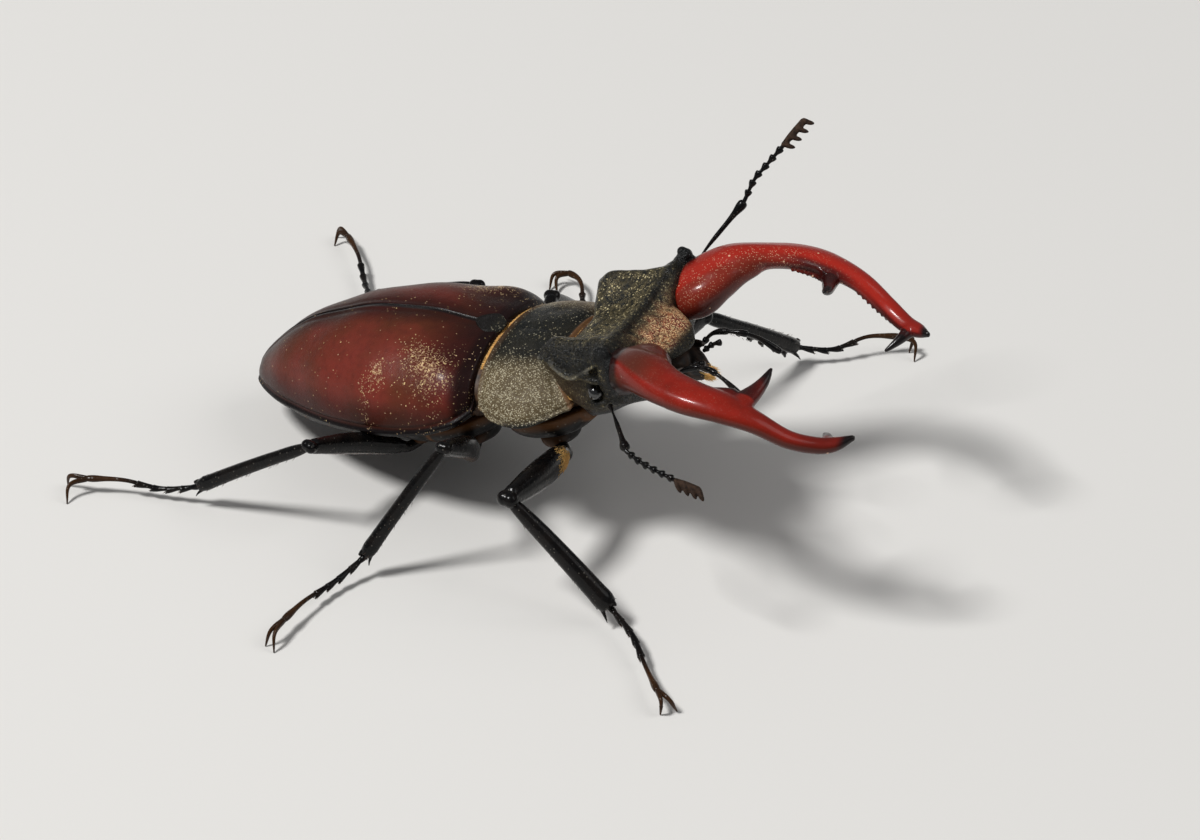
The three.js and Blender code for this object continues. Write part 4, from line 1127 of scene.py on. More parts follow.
# %% Mouthparts and palps
# x, half width, top, bottom of the chin plate
CHIN = [(15.2, 3.7, 0.4, -2.6), (16.2, 3.5, 0.3, -2.8), (17.0, 3.0, 0.1, -2.9), (17.6, 2.5, -0.3, -2.8)]
across, up = rounded(closed_ring(48), 2.6)
chin = [np.column_stack([np.full(49, x), half * across, (top + bottom) / 2 + (top - bottom) / 2 * up])
        for x, half, top, bottom in CHIN]
lobes = [skin(domed_ends(np.array(chin), 0.2, 0.4))]
for side in (1, -1):
    lobe = [(16.4, 1.9 * side, -1.0), (17.8, 1.5 * side, -1.1),
            (19.0, 0.85 * side, -1.5), (19.8, 0.45 * side, -1.9)]
    lobe_table = [[0, 1.1, 0.9], [0.4, 0.95, 0.75], [0.8, 0.55, 0.45], [1, 0.35, 0.3]]
    lobes.append(skin(tube(lobe, lobe_table, caps=(0.5, 0.3))))
    palp_root = [(17.0, 2.9 * side, -0.6), (18.2, 2.5 * side, -0.3), (18.9, 2.0 * side, -0.1)]
    lobes.append(skin(spike(palp_root, 0.5, 0.2)))
mouth = piece("mouth_lobes", melted(lobes, 0.13, 2), "mouth", ["mouthparts"])
dress(mouth, "mouth")


OVERLAP = 0.012


def round_rows(*rows):
    """A table of radii for round sections from rows of (share, radius)."""
    return [[share, radius, radius] for share, radius in rows]


def vases(points, joints, narrow, wide, sides=18):
    """Joints in a row along a path, each a small vase; joints are shares where each one ends."""
    path, length = smooth_path(points)
    swell = smooth_table(round_rows((0, narrow), (0.25, narrow * 1.05), (0.72, wide),
                                    (0.9, wide * 0.97), (1, wide * 0.7)))
    caps = (narrow * 0.4, wide * 0.5)
    made, start = [], 0.0
    for end in joints:
        part = lambda t, a=start, b=end: path(a + (b - a) * np.asarray(t))
        made.append(skin(sweep(part, length * (end - start), swell, sides, 20, caps=caps)))
        start = end - OVERLAP
    return made


# points, and the shares where the joints end
PALPS = {
    "maxillary": ([(17.9, 3.2, -0.9), (19.3, 3.2, 0.3), (21.6, 3.1, 0.5), (23.0, 3.5, -0.1),
                   (25.1, 4.0, -2.1)], (0.12, 0.42, 0.62, 1.0)),
    "labial": ([(18.95, 1.5, -0.5), (20.0, 1.7, 0.1), (20.8, 1.9, 0.2)], (0.3, 0.6, 1.0)),
}
for side, name in SIDES:
    for kind, (points, joints) in PALPS.items():
        feeler = vases([(x, y * side, z) for x, y, z in points], joints, 0.17, 0.3)
        palp = piece(f"{kind}_feeler_{name}", join(feeler), "limb", [f"{kind}_palp_{name}"])
        dress(palp, "limb")

# %% [markdown]
# ## Antennae
# Each antenna is elbowed: a long first joint, the scape, then a chain of short beads, and at the end
# a club whose last four joints grow out on one side into felted plates, like the teeth of a comb. The
# plates are flattened sweeps, melted to their stem. Two short links seat the chain in both of its
# neighbours.

# %% Antennae
ANTENNAE = {
    "left": {
        "scape": [(15.1, 9.25, 3.1), (16.3, 10.8, 4.5), (18.0, 12.5, 6.1), (19.5, 14.1, 7.5)],
        "beads": [(19.5, 14.2, 7.6), (20.4, 15.5, 9.1), (21.1, 16.3, 9.7), (22.45, 17.7, 10.85)],
        "club": [(22.45, 17.7, 10.9), (24.4, 19.6, 12.6)],
        "lean": (0.75, 0.15, -0.65),
    },
    "right": {
        "scape": [(15.1, -9.25, 0.5), (16.6, -11.3, -0.1), (18.5, -14.0, -1.0)],
        "beads": [(18.6, -14.1, -1.15), (20.0, -14.6, -1.9), (21.2, -14.8, -2.5), (22.85, -14.9, -3.35)],
        "club": [(22.85, -14.9, -3.4), (25.2, -15.0, -4.4)],
        "lean": (0.3, -0.6, -0.75),
    },
}
SCAPE = round_rows((0, 0.28), (0.06, 0.19), (0.5, 0.21), (0.82, 0.3), (0.94, 0.45), (1, 0.4))
LEAF = [[0, 0.3, 0.2], [0.35, 0.42, 0.23], [0.7, 0.4, 0.2], [1, 0.24, 0.13]]


def unit(vector):
    vector = np.array(vector, float)
    return vector / np.linalg.norm(vector)


for name, antenna in ANTENNAE.items():
    shaft = skin(tube(antenna["scape"], SCAPE, 24, 60, caps=(0.15, 0.3)))
    dress(piece(f"scape_shaft_{name}", shaft, "limb", [f"antenna_scape_{name}"]), "limb")

    scape, chain, club = (smooth_path(antenna[part])[0] for part in ("scape", "beads", "club"))
    club_foot, club_end = (np.array(point) for point in antenna["club"])
    beads = vases(antenna["beads"], np.linspace(0, 1, 7)[1:], 0.16, 0.34)
    for link in ([scape(0.97)[0], chain(0.0)[0], chain(0.09)[0]],
                 [chain(0.93)[0], chain(1.0)[0], club_foot * 0.85 + club_end * 0.15]):
        beads.append(skin(tube(link, round_rows((0, 0.2), (1, 0.18)), 14, 12, caps=(0.08, 0.08))))
    dress(piece(f"feeler_beads_{name}", join(beads), "limb", [f"antenna_funicle_{name}"]), "limb")

    stem_table = round_rows((0, 0.2), (0.3, 0.3), (1, 0.32))
    forms = [skin(tube(antenna["club"], stem_table, 20, 30, caps=(0.2, 0.3)))]
    lean = unit(antenna["lean"])
    stem = unit(club(1.0)[0] - club(0.0)[0])
    for share in np.linspace(0.1, 0.95, 4):
        root = club(share)[0]
        reach = 1.0 if share < 0.9 else 0.9
        leaf = [root - lean * 0.25, root + lean * 0.45 + stem * 0.06, root + lean * reach + stem * 0.22]
        forms.append(skin(tube(leaf, LEAF, 24, 24, up=stem, caps=(0.2, 0.35))))
    dress(piece(f"comb_club_{name}", melted(forms, 0.07, 2), "club", [f"antenna_club_{name}"]), "club")

# %% [markdown]
# ## Legs
# A beetle's leg has a hip (coxa), a thigh (femur), a shank (tibia) with teeth on its outer edge and
# two spurs at its end, and a foot (tarsus) of five joints with two claws. The thigh ends in two
# cheeks that hold the head of the shank, shaped as the knee's hinge. The legs use the same points as
# the solid. Thighs and shanks are melted from their parts, and the feet stay a chain of joints.

# %% Leg tables
LEGS = {
    "front_left": {
        "thigh": [(8.0, 6.0, 8.6), (9.7, 11.2, 9.7), (11.6, 16.8, 10.3)], "ankle": (16.8, 27.2, 2.0),
        "foot": [(19.7, 29.0, 1.5), (22.3, 31.4, 2.2), (24.9, 33.3, 1.8)],
        "claws": [(26.7, 32.3), (25.7, 33.5)]},
    "front_right": {
        "thigh": [(8.5, -5.9, 8.7), (8.7, -10.8, 9.9), (8.1, -16.4, 10.5)], "ankle": (18.0, -16.6, 1.9),
        "foot": [(20.9, -18.8, 1.7), (23.6, -21.9, 1.3), (26.1, -24.9, 1.6)],
        "claws": [(26.8, -25.9), (27.9, -24.9)]},
    "middle_left": {
        "thigh": [(-0.6, 5.9, 5.8), (-1.7, 10.5, 7.8), (-2.9, 15.3, 9.3)], "ankle": (-3.4, 23.6, 2.1),
        "foot": [(-5.0, 26.4, 1.4), (-7.3, 30.0, 1.5), (-8.6, 30.6, 1.4)],
        "claws": [(-9.7, 28.8), (-8.7, 28.4)]},
    "middle_right": {
        "thigh": [(-0.6, -5.9, 5.8), (1.0, -10.2, 9.8), (1.1, -14.6, 12.6)], "ankle": (-4.7, -19.3, 2.1),
        "foot": [(-5.8, -22.0, 1.3), (-6.9, -26.6, 1.5), (-7.2, -29.5, 1.5)],
        "claws": [(-7.8, -31.7), (-6.7, -32.2)]},
    "hind_left": {
        "thigh": [(-7.0, 6.0, 4.8), (-9.0, 10.6, 6.2), (-11.0, 16.0, 7.8)], "ankle": (-23.4, 18.0, 1.9),
        "foot": [(-25.5, 20.8, 1.3), (-28.4, 24.8, 1.6), (-30.9, 27.5, 1.4)],
        "claws": [(-32.8, 28.5), (-32.2, 27.1)]},
    "hind_right": {
        "thigh": [(-7.0, -6.0, 4.8), (-9.6, -9.6, 6.7), (-11.8, -15.4, 9.4)], "ankle": (-23.2, -16.1, 2.0),
        "foot": [(-26.5, -16.7, 1.2), (-30.0, -17.5, 1.6), (-33.3, -18.6, 1.5)],
        "claws": [(-35.3, -18.5), (-33.9, -21.0)]},
}
# sizes across; gap is the shank's length inside the knee, edge is 1 with the teeth above, -1 below
LEG_SHAPES = {
    "front": {"height": 2.8, "width": 2.2, "knee": 1.26, "ankle": 1.95,
              "gap": 0.97, "swell": 0.7, "teeth": 5, "edge": -1},
    "middle": {"height": 2.1, "width": 1.7, "knee": 1.02, "ankle": 1.38,
               "gap": 0.77, "swell": 0.6, "teeth": 4, "edge": 1},
    "hind": {"height": 2.0, "width": 1.6, "knee": 1.0, "ankle": 1.34,
             "gap": 0.72, "swell": 0.6, "teeth": 4, "edge": 1},
}
# middle and half sizes, in the trunk's frame
HIPS = {
    "front": ((5.7, 3.5, -5.4), (1.7, 2.5, 1.35)),
    "middle": ((-2.3, 3.6, -5.3), (1.6, 2.3, 1.2)),
    "hind": ((-8.0, 3.4, -5.4), (1.4, 2.4, 1.1)),
}
# a thigh's half width at shares of its length, as a share of its widest
THIGH_SWELL = [[0, 0.45], [0.12, 0.78], [0.4, 1.0], [0.72, 0.92], [0.9, 0.76], [1.0, 0.7]]


def leg_axes(along):
    upright = unit(np.array([0, 0, 1]) - along * along[2])
    return upright, np.cross(upright, along)


# %% [markdown]
# ## Hips and thighs
# The hip is a smooth bean set in the chest. The thigh swells in its middle and is oval across, with a
# thin brown edge below. Two cheeks at its end leave a slot for the shank.

# %% Thighs
def thigh(leg, shape, hip):
    """A thigh's forms: shaft, two cheeks at the knee, trochanter, and the stalk into the hip."""
    path, _ = smooth_path(leg["thigh"])
    half_width, half_height = shape["width"] / 2, shape["height"] / 2
    rows = [[t, half_width * s, half_height * s] for t, s in THIGH_SWELL]
    shaft = tube(leg["thigh"], rows, 32, 60, caps=(0.6, 0.5), fullness=2.2)
    knee = np.array(leg["thigh"][-1])
    along = unit(knee - path(0.93)[0])
    across = leg_axes(along)[1]
    cheek, aside = shape["knee"] * 0.57, across * shape["knee"] * 0.24
    cheeks = [ball(knee + along * 0.1 + aside * side, (cheek,) * 3, 24, 16) for side in (1, -1)]
    trochanter = ball(path(0.03)[0], (half_width * 0.62, half_width * 0.7, half_height * 0.55), 20, 14)
    start, past = path(0.0)[0], path(0.1)[0]
    neck = half_width * 0.72
    stalk = tube([hip, (hip + start) / 2 - [0, 0, 0.15], start, past],
                 round_rows((0, neck), (0.5, neck * 0.86), (1, neck)), 24, 30, caps=(0.3, 0.3))
    return [skin(form, STANDING) for form in (shaft, *cheeks, trochanter, stalk)]


for name, leg in LEGS.items():
    pair, side_name = name.split("_")
    shape = LEG_SHAPES[pair]
    (hx, hy, hz), radii = HIPS[pair]
    side = 1 if side_name == "left" else -1
    hip = np.array(STANDING.inverted() @ TRUNK @ Vector((hx, (hy + 1.2) * side, hz - 0.2)))
    part = piece(f"thigh_{name}", melted(thigh(leg, shape, hip), 0.11, 4), "limb", [f"femur_{name}"])
    p = places(part, STANDING)
    shares = np.linspace(0, 1, 60)
    centre = smooth_path(leg["thigh"])[0](shares)
    nearest = np.array([np.argmin(((centre - q) ** 2).sum(axis=1)) for q in p])
    below = (centre[nearest] - p)[:, 2] / (shape["height"] / 2)
    plate = smoothstep(below, 0.55, 0.8) * smoothstep(0.9 - shares[nearest], 0, 0.12)
    paint(part, "brown", plate * (0.75 if pair == "front" else 0.5))
    dress(part, "limb")
    bean = ball((hx, hy * side, hz), radii, 40, 26)
    bean[..., 2] += 0.12 * np.sin((bean[..., 1] * side - hy) * 1.6)
    hip = piece(f"hip_{name}", skin(bean), "underside", [f"coxa_{name}"])
    paint(hip, "brown", 0.35 * smoothstep(np.abs(places(hip)[:, 1]), hy + 1.0, hy + 2.4))
    dress(hip, "underside")

# %% [markdown]
# ## Shanks
# The shank starts as a small ball in the knee's slot, widens to the ankle, and is flattened. Blunt
# teeth stand along one edge, each larger than the last, and two spurs flank the ankle. The front
# shanks, which dig, are the widest and have the largest teeth.

# %% Shanks
def shank_half(shape, t):
    """Half the height of a shank at a share of its length."""
    return (shape["knee"] + (shape["ankle"] - shape["knee"]) * t ** shape["swell"]) / 2


def shank(leg, shape, slim):
    """A shank's forms: shaft, ball of the knee, teeth, two spurs and the point over the foot."""
    knee, ankle = np.array(leg["thigh"][-1]), np.array(leg["ankle"])
    along = unit(ankle - knee)
    upright, across = leg_axes(along)
    reach = np.linalg.norm(ankle - knee)
    bow = upright * 0.25
    places_along = (0, 0.08, 0.3, 0.55, 0.8, 1 - 0.25 / reach)
    points = [knee + along * reach * t + bow * np.sin(np.pi * t) * 0.5 for t in places_along]
    path, _ = smooth_path(points)
    gap = shape["gap"] / reach
    top, end = shank_half(shape, 0), shank_half(shape, 1)
    rows = [[0, top * 0.66, top * 0.72], [gap * 0.7, top * 0.76, top * 0.84],
            [gap * 1.5, top * 0.86, top * 1.0]]
    rows += [[t, shank_half(shape, t) * 0.86, shank_half(shape, t) * slim]
             for t in (0.3, 0.5, 0.7, 0.85, 0.94)]
    rows += [[1.0, end * 0.74, end * 0.74]]
    forms = [tube(points, rows, 36, 70, caps=(0.35, 0.22), fullness=2.3),
             ball(knee + along * 0.05, (top * 0.8,) * 3, 20, 14)]

    edge = upright * shape["edge"]
    outward = unit(edge + along * 1.2)
    count = shape["teeth"]
    big = 1.0 if shape["edge"] < 0 else 0.5
    for i, t in enumerate(np.linspace(0.4, 0.9, count)):
        root = path(t)[0] + edge * (shank_half(shape, t) - 0.3)
        size = (0.62 + 0.48 * i / (count - 1)) * big
        tooth = [root - along * 0.1, root + outward * 0.45 * size, root + outward * size]
        forms.append(spike(tooth, 0.34 * big + 0.05, 0.08, 12, 12))
    for side in (-1, 1):
        spread = (across * side * 0.8 - upright) * shape["ankle"] / 4
        root = path(1.0)[0] + spread - along * 0.35
        droop = upright * -0.15
        far = 0.7 + 0.55 * big
        spur = [root, root + along * 0.55 * far + spread * 0.4, root + along * far + spread * 0.6 + droop]
        forms.append(spike(spur, 0.14 + 0.08 * big, 0.05, 12, 14))
    tip = path(1.0)[0] + upright * end * 0.6 - along * 0.35
    point = [tip, tip + along * 0.35 + upright * 0.06, tip + along * 0.6 + upright * 0.12]
    forms.append(spike(point, 0.3, 0.12, 12, 12))
    return [skin(form, STANDING) for form in forms]


for name, leg in LEGS.items():
    slim = 0.8 if name == "front_left" else 1.0
    forms = shank(leg, LEG_SHAPES[name.split("_")[0]], slim)
    part = piece(f"shank_{name}", melted(forms, 0.09, 1), "limb", [f"tibia_{name}"])
    dress(part, "limb")

# %% [markdown]
# ## Feet
# A foot has four short joints and one long one, and a short neck seats it in the shank. Each short
# joint is a wedge: flat along its top, it drops to two points below. The long one carries the claws,
# with a small bristled stem between them. The claws arch to the floor and end on it.

# %% Feet
FOOT_ENDS = (0.16, 0.29, 0.42, 0.56, 1.0)
# share, half width, half height along the neck, a short joint, the long joint and a claw
NECK = [[0, 0.32, 0.3], [0.6, 0.3, 0.28], [1, 0.24, 0.2]]
SHORT_JOINT = [[0, 0.24, 0.2], [0.2, 0.24, 0.2], [0.8, 0.34, 0.3], [0.93, 0.35, 0.32], [1, 0.29, 0.26]]
LONG_JOINT = [[0, 0.2, 0.18], [0.15, 0.2, 0.18], [0.6, 0.25, 0.23], [0.9, 0.34, 0.3], [1, 0.27, 0.25]]
CLAW = [[0, 0.24, 0.27], [0.35, 0.2, 0.24], [0.8, 0.12, 0.14], [1, 0.06, 0.07]]


def claw(end, forward, tip):
    """A claw that arches from the foot's end to the floor."""
    tip = np.array([*tip, 0.03])
    bend = (end + tip) / 2 + forward * 0.6
    bend[2] = end[2] * 0.9
    rings = tube([end - forward * 0.25, bend, tip], CLAW, 16, 30, caps=(0.2, 0.06))
    rings[..., 2] = np.maximum(rings[..., 2], 0)
    return rings


for name, leg in LEGS.items():
    path, length = smooth_path([leg["ankle"], *leg["foot"]])
    ankle = np.array(leg["ankle"])
    into_shank = unit(np.array(leg["thigh"][-1]) - ankle)
    neck = [ankle + into_shank * 0.75, ankle + into_shank * 0.1, path(0.06)[0]]
    forms, start = [tube(neck, NECK, 18, 14, caps=(0.12, 0.12))], 0.0
    for end in FOOT_ENDS:
        short = end < 1
        drop = 0.11 if short else 0.0
        part = lambda t, a=start, b=end, d=drop: (
            path(a + (b - a) * np.asarray(t))
            - np.outer(d * smoothstep(np.atleast_1d(t), 0.15, 0.9), [0, 0, 1]))
        shape = smooth_table(SHORT_JOINT if short else LONG_JOINT)
        forms.append(sweep(part, length * (end - start), shape, 18, 22, caps=(0.12, 0.2)))
        if short:
            along = unit(path(end)[0] - path(end - 0.03)[0])
            upright, across = leg_axes(along)
            for side in (1, -1):
                root = path(end)[0] + across * side * 0.13 - upright * 0.2 - along * 0.34
                point = [root, root + along * 0.25 - upright * 0.1, root + along * 0.46 - upright * 0.24]
                forms.append(spike(point, 0.17, 0.05, 10, 8))
        start = end - OVERLAP
    end = path(1.0)[0]
    forward = unit([*(path(1.0)[0] - path(0.97)[0])[:2], 0])
    forms += [claw(end, forward, tip) for tip in leg["claws"]]
    stem = [end, end + forward * 0.5 - np.array([0, 0, 0.2]), end + forward * 0.9 - np.array([0, 0, 0.5])]
    forms.append(spike(stem, 0.11, 0.05, 8, 8))
    foot = piece(f"foot_{name}", join([skin(form, STANDING) for form in forms]), "limb", [f"tarsus_{name}"])
    reach = np.linalg.norm(places(foot, STANDING) - end, axis=1)
    paint(foot, "brown", 0.28 * bump(reach - 1.9, 2.0))
    dress(foot, "limb")

# %% [markdown]
# ## Underside
# Below the wing cases lie the plates of the chest and the belly. The chest plates bulge between the
# hips and have a keel, and the belly shows five rings with brown hind edges. They are boat-shaped
# lofts: flat on top, where the wing cases hide them, and rounded below.

# %% Chest and belly
# x, half width, top, bottom
CHEST_FRONT = [
    [1.7, 6.2, -2.35, -4.3], [3.4, 7.6, -2.35, -5.3], [6.0, 7.9, -2.35, -5.7], [8.2, 6.9, -2.35, -5.4],
    [9.5, 5.6, -2.35, -4.6],
]
CHEST_REAR = [
    [-9.6, 7.5, -2.85, -5.5], [-6.0, 8.3, -2.85, -5.9], [-2.0, 8.0, -2.7, -5.7], [0.2, 6.6, -2.35, -4.9],
    [1.3, 5.2, -2.35, -4.1],
]
BELLY = [
    [-25.4, 1.0, -2.6, -3.1], [-23.6, 2.9, -2.65, -3.8], [-20.5, 4.9, -2.75, -4.7],
    [-16.5, 6.4, -2.85, -5.4], [-12.5, 7.3, -2.85, -5.7], [-9.9, 7.5, -2.85, -5.6],
]
BELLY_SEAMS = (-22.6, -19.9, -17.1, -14.3, -11.6)
UNDERSIDE_FULLNESS = 2.4


def hull(stations, rows, shape_up):
    """A boat-shaped skin; shape_up(x, y, depth) adds its fine forms to the bottom."""
    x = np.linspace(stations[0][0], stations[-1][0], rows)
    half, top, bottom = (column[:, None] for column in smooth_table(stations)(x).T)
    across, up = rounded(np.linspace(-np.pi, 0, 72)[None, :], UNDERSIDE_FULLNESS)
    y, z = across * half, top + (bottom - top) * -up
    lower = np.stack([x[:, None] + 0 * y, y, z], axis=2)
    lower[..., 2] -= shape_up(lower[..., 0], y, -up)
    shares = np.linspace(0, 1, 12)[1:]
    lid = np.stack([lower[:, -1] + (lower[:, 0] - lower[:, -1]) * t for t in shares], axis=1)
    return skin(domed_ends(np.concatenate([lower, lid], axis=1), 0.2, 0.2))


def front_keel(x, y, depth):
    keel = 0.5 * bump(y, 0.8) * smoothstep(x, 1.7, 4.0) * (1 - smoothstep(x, 6.5, 8.5))
    return keel - 0.25 * bump(np.abs(y) - 2.6, 0.5) * depth


def rear_keel(x, y, depth):
    keel = -0.12 * bump(y, 0.35) * depth + 0.1 * bump(np.abs(y) - 1.3, 0.9) * depth
    return keel - 0.2 * bump(x + 5.2, 0.25) * depth


def belly_rings(x, y, depth):
    return sum(-0.2 * bump(x - seam, 0.16) * depth for seam in BELLY_SEAMS)


# piece, node, stations, rows of its grid, fine forms, seams
PLATES = (
    ("front_chest_plate", "prothorax", CHEST_FRONT, 50, front_keel, (2.0, 9.3)),
    ("rear_chest_plate", "metathorax", CHEST_REAR, 70, rear_keel, (-5.2, -9.3)),
    ("belly_plates", "abdomen", BELLY, 120, belly_rings, BELLY_SEAMS),
)
for name, node, stations, rows, form, seams in PLATES:
    plate = piece(name, hull(stations, rows, form), "underside", [node])
    x, y, z = places(plate).T
    near = np.min([np.abs(x - seam - 0.25) for seam in seams], axis=0)
    edge = smoothstep(z, -3.6, -2.7)
    paint(plate, "brown", np.maximum(0.8 * bump(near, 0.22), 0.65 * edge))
    dress(plate, "underside")

# %% [markdown]
# ## Skin between the plates
# Where two plates meet, a real beetle has a band of soft skin tucked out of sight, so that a glance
# into the seam never meets empty air. One collar fills the neck and one the waist. They touch the
# plates' insides and stay behind their edges.

# %% Neck and waist
NECK_SKIN = [[6.6, 6.6, 1.5, -3.6], [8.0, 6.3, 2.1, -3.5], [9.0, 6.0, 2.4, -3.2], [10.2, 5.6, 2.3, -2.8]]
WAIST_SKIN = [[-1.2, 7.6, 2.4, -3.6], [0.2, 7.4, 2.55, -3.7], [1.2, 7.2, 2.3, -3.7], [2.6, 6.6, 1.8, -3.6]]


def collar(stations):
    """A closed band through a table of x, half width, top, bottom, with fine folds."""
    dense = np.linspace(stations[0][0], stations[-1][0], 24)
    half, top, bottom = (column[:, None] for column in smooth_table(stations)(dense).T)
    across, up = rounded(closed_ring(80)[None, :], UNDERSIDE_FULLNESS)
    z = (top + bottom) / 2 + (top - bottom) / 2 * up + 0.06 * np.sin(dense[:, None] * 9)
    return skin(domed_ends(np.stack([dense[:, None] + 0 * z, half * across, z], axis=2), 0.2, 0.2))


for name, stations in (("neck_skin", NECK_SKIN), ("waist_skin", WAIST_SKIN)):
    dress(piece(name, collar(stations), "underside"), "skin")

# %% [markdown]
# ## Golden fringes
# Short golden hairs stand along the seams: behind the neck shield, in front of it, on the inner side
# of the front thighs, and as a brush on the mouth. A hair is a thin three-sided cone with two extra
# rings so that it can bend. Copies of it are laid down one by one and joined. Each copy's map, named
# OFBake, is a tiny patch at its root's place on an unrolled trunk, so that a hair takes one tone.

# %% A hair and a coat
HAIR_PATCH = 0.003
HAIR_RINGS = (0.35, 0.7)


def hair_pattern():
    """One hair along +Z, one unit long and one unit in radius at its root."""
    bm = bmesh.new()
    bmesh.ops.create_cone(bm, cap_ends=True, segments=3, radius1=1.0, radius2=0.0, depth=1.0,
                          matrix=Matrix.Translation((0, 0, 0.5)))
    for height in HAIR_RINGS:
        bmesh.ops.bisect_plane(bm, geom=bm.verts[:] + bm.edges[:] + bm.faces[:],
                               plane_co=(0, 0, height), plane_no=(0, 0, 1))
    bmesh.ops.remove_doubles(bm, verts=bm.verts, dist=1e-5)
    mesh = bpy.data.meshes.new("hair")
    bm.to_mesh(mesh)
    bm.free()
    return mesh


HAIR = hair_pattern()
print("one hair has", len(HAIR.polygons), "faces")


def coat(name, hairs, radius, place, slot, finish):
    """A joined coat; each hair is (root, direction, length, bend), in millimetres."""
    bm = bmesh.new()
    uv = bm.loops.layers.uv.new("OFBake")
    tip = bm.verts.layers.float.new("tip")
    for root, direction, length, bend in hairs:
        known = len(bm.verts), len(bm.faces)
        bm.from_mesh(HAIR)
        bm.verts.ensure_lookup_table()
        bm.faces.ensure_lookup_table()
        along = Vector(direction).normalized()
        side = along.orthogonal().normalized()
        other = along.cross(side)
        for vert in bm.verts[known[0]:]:
            h = vert.co.z
            thick = radius * (1 - 0.75 * h * h) if h < 0.99 else 0
            flat = Vector((vert.co.x, vert.co.y))
            if flat.length > 1e-6:
                flat = flat.normalized() * thick
            point = (Vector(root) + along * (h * length) + Vector(bend) * (h * h * length)
                     + side * flat.x + other * flat.y)
            vert[tip] = h
            vert.co = place @ point
        trunk_root = TRUNK.inverted() @ (place @ Vector(root))
        u = 0.05 + 0.9 * (trunk_root.x + 30) / 80
        v = 0.5 + 0.45 * math.atan2(trunk_root.y, trunk_root.z + 1.0) / math.pi
        for face in bm.faces[known[1]:]:
            for k, loop in enumerate(face.loops):
                loop[uv].uv = (u + HAIR_PATCH * (0.5 * (k % 2)), v + HAIR_PATCH * 0.3 * (k // 2))
    thing = piece(name, bm, slot)
    dress(thing, finish)
    return thing


# %% [markdown]
# ## Laying the fringes
# The hairs follow the edge that they grow from and lean back with a little scatter. The scatter comes
# from a seeded generator, so the fringe is the same each time.

# %% Fringes
FRINGE_RADIUS, BRUSH_RADIUS, BRISTLE_RADIUS = 0.028, 0.03, 0.022


def scatter(seed):
    return np.random.default_rng(seed)


def shield_edge(share, across):
    """A point (across, up) on the arch over the shield's edge, its cosine, and its half width."""
    arch_angle = math.acos(np.clip(np.sign(across) * abs(across) ** (SHIELD_FULLNESS / 2), -1, 1))
    cosine, sine = rounded(np.array([arch_angle]), SHIELD_FULLNESS)
    top, half, margin = smooth_table(SHIELD_STATIONS)(share)[0]
    return cosine[0] * half, margin + (top - margin) * sine[0], cosine[0], half


rng = scatter(11)
hairs = []
for across in rng.uniform(-0.68, 0.68, 2600):
    y, z, cosine, half = shield_edge(0.0, across)
    x = SHIELD["back"] + SHIELD["corners_back"] * cosine**2
    root = (x + rng.uniform(-0.05, 0.2), y, z - 0.1 - rng.uniform(0, 0.14))
    outward = Vector((0, y / half * 0.8, 0.5)).normalized()
    direction = (-1.0, outward.y * 0.1 + rng.normal(0, 0.15), outward.z * 0.25 + rng.normal(0, 0.1))
    reach = 1.35 - 0.9 * abs(across)
    hairs.append((root, direction, rng.uniform(0.6, 1.0) * reach, (0, -outward.y * 0.25, -outward.z * 0.3)))
coat("rear_fringe", hairs, FRINGE_RADIUS, TRUNK, "mouth", "gold_hair")

rng = scatter(12)
hairs = []
for across in rng.uniform(-0.97, 0.97, 2000):
    y, z, cosine, half = shield_edge(1.0, across)
    x = SHIELD["front"] + SHIELD["corners_forward"] * cosine**4
    root = (x - rng.uniform(0.0, 0.2), y, z - 0.08 - rng.uniform(0, 0.14))
    direction = (1.0, rng.normal(0, 0.15), 0.1 + rng.normal(0, 0.1))
    hairs.append((root, direction, rng.uniform(0.5, 0.9), (0, 0, -0.25)))
coat("front_fringe", hairs, FRINGE_RADIUS, TRUNK, "mouth", "gold_hair")

# %% [markdown]
# ## Thigh patches, mouth brush and bristles
# A dense golden patch lies on the front face of each front thigh. The mouth's brush is longer and
# fans out a little. Short dark bristles stand on the shanks and under the feet.

# %% Patches and brushes
for name in ("front_left", "front_right"):
    rng = scatter(21 if name == "front_left" else 22)
    path, _ = smooth_path(LEGS[name]["thigh"])
    swell = smooth_table(THIGH_SWELL)
    hairs = []
    for _ in range(1500):
        share = float(np.clip(rng.normal(0.17, 0.065), 0.03, 0.36))
        centre = path(share)[0]
        along = unit(path(share + 0.02)[0] - centre)
        upright, across = leg_axes(along)
        forward = across if across[0] > 0 else -across
        turn = rng.normal(0.45, 0.42)
        width = 1.1 * float(swell(share)[0, 0])
        normal = forward * math.cos(turn) + upright * math.sin(turn)
        root = (centre + forward * math.cos(turn) * width * 0.97
                + upright * math.sin(turn) * width * 1.27 * 0.97)
        lean = unit(normal * 0.45 + along * 0.9 + rng.normal(0, 0.1, 3))
        hairs.append((root, lean, rng.uniform(0.35, 0.6), -normal * 0.2))
    coat(f"thigh_patch_{name}", hairs, BRUSH_RADIUS, STANDING, "mouth", "gold_hair")

rng = scatter(31)
hairs = []
for side in (1, -1):
    for _ in range(260):
        share = rng.uniform(0, 1) ** 0.6
        inner, outer = np.array([18.9, 0.8 * side, -1.4]), np.array([20.0, 0.4 * side, -1.95])
        root = inner * (1 - share) + outer * share + rng.normal(0, 0.1, 3)
        direction = unit([1.0, rng.normal(0, 0.18), -0.3 + rng.normal(0, 0.18)])
        hairs.append((root, direction, rng.uniform(0.45, 0.85), (0, 0, 0.15 * rng.normal())))
coat("mouth_brush", hairs, BRUSH_RADIUS, TRUNK, "mouth", "gold_hair")

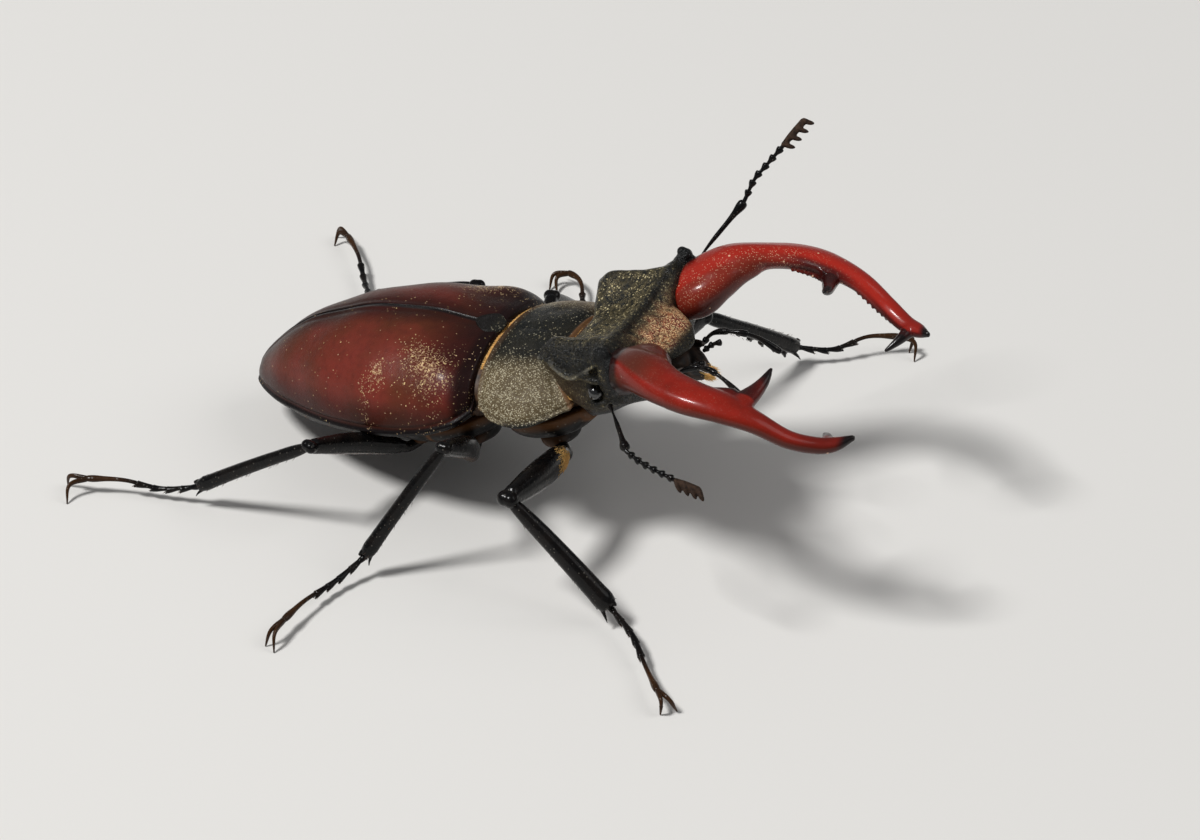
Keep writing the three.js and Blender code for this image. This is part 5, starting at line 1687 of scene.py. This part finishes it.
rng = scatter(41)
hairs = []
for name, leg in LEGS.items():
    shape = LEG_SHAPES[name.split("_")[0]]
    knee, ankle = np.array(leg["thigh"][-1]), np.array(leg["ankle"])
    along = unit(ankle - knee)
    upright, across = leg_axes(along)
    for _ in range(70):
        t = rng.uniform(0.15, 0.98)
        turn = rng.uniform(0, 2 * np.pi)
        normal = across * math.cos(turn) * 0.8 + upright * math.sin(turn)
        root = knee + (ankle - knee) * t + normal * shank_half(shape, t) * 0.93
        hairs.append((root, unit(normal * 0.5 + along), rng.uniform(0.25, 0.5), (0, 0, 0)))
    path, _ = smooth_path([leg["ankle"], *leg["foot"]])
    for _ in range(60):
        t = rng.choice(FOOT_ENDS[:4]) - rng.uniform(0, 0.04)
        direction = unit(path(t + 0.02)[0] - path(t)[0])
        upright, across = leg_axes(direction)
        root = path(t)[0] + across * rng.uniform(-0.3, 0.3) - upright * 0.2
        lean = unit(direction * 0.8 - upright * 0.5 + rng.normal(0, 0.1, 3))
        hairs.append((root, lean, rng.uniform(0.3, 0.5), (0, 0, 0)))
coat("leg_bristles", hairs, BRISTLE_RADIUS, STANDING, "limb", "dark_hair")

# %% [markdown]
# ## Floor, light and camera
# The beetle stands on a plain pale floor. One lamp from above and behind the beetle's right side
# makes the highlights on the shell, a broad weaker one fills from the front, and a pale sky lifts
# the shadows. The camera looks down at 35 degrees from the beetle's front right.

# %% Floor
bm = bmesh.new()
bmesh.ops.create_grid(bm, x_segments=1, y_segments=1, size=3.0)
floor_mesh = bpy.data.meshes.new("floor")
bm.to_mesh(floor_mesh)
bm.free()
floor = bpy.data.objects.new("floor", floor_mesh)
bpy.context.scene.collection.objects.link(floor)
paper, tree, shader = new_finish("floor_paper", 0.9, specular=0.2)
shader.inputs["Base Color"].default_value = tint(226, 224, 220)
floor.data.materials.append(paper)
print("floor laid")

# %% Lamps and sky
def lamp(name, place, aim, size, watts):
    data = bpy.data.lights.new(name, "AREA")
    data.shape = "DISK"
    data.size = size
    data.energy = watts
    thing = bpy.data.objects.new(name, data)
    thing.location = place
    thing.rotation_euler = (Vector(aim) - Vector(place)).to_track_quat("-Z", "Y").to_euler()
    bpy.context.scene.collection.objects.link(thing)
    return thing


LAMP_AIM = (0.0, 0.0, 0.01)
lamp("key_lamp", (-0.50, -0.48, 1.10), LAMP_AIM, 0.3, 14.5)
lamp("fill_lamp", (0.85, 0.25, 0.95), LAMP_AIM, 0.9, 3.2)
sky = bpy.data.worlds.new("sky")
sky.use_nodes = True
pale = sky.node_tree.nodes["Background"].inputs
pale["Color"].default_value = tint(236, 238, 242)
pale["Strength"].default_value = 0.18
bpy.context.scene.world = sky
bpy.context.scene.view_settings.view_transform = "Standard"
print("two lamps and a pale sky")

# %% Camera
AZIMUTH, ELEVATION, DISTANCE = math.radians(25), math.radians(35), 0.4
AIM = STANDING @ Vector((3.9, 11.2, 0.0))
level_reach = math.cos(ELEVATION)
back = Vector((math.sin(AZIMUTH) * level_reach, -math.cos(AZIMUTH) * level_reach, math.sin(ELEVATION)))
camera_data = bpy.data.cameras.new("camera")
camera_data.lens = 130
camera_data.sensor_width = 36
camera_data.clip_start = 0.01
camera_data.clip_end = 10
camera = bpy.data.objects.new("camera", camera_data)
camera.location = AIM + back * DISTANCE
camera.rotation_euler = (-back).to_track_quat("-Z", "Y").to_euler()
bpy.context.scene.collection.objects.link(camera)
bpy.context.scene.camera = camera
print("camera at", [round(value, 4) for value in camera.location])
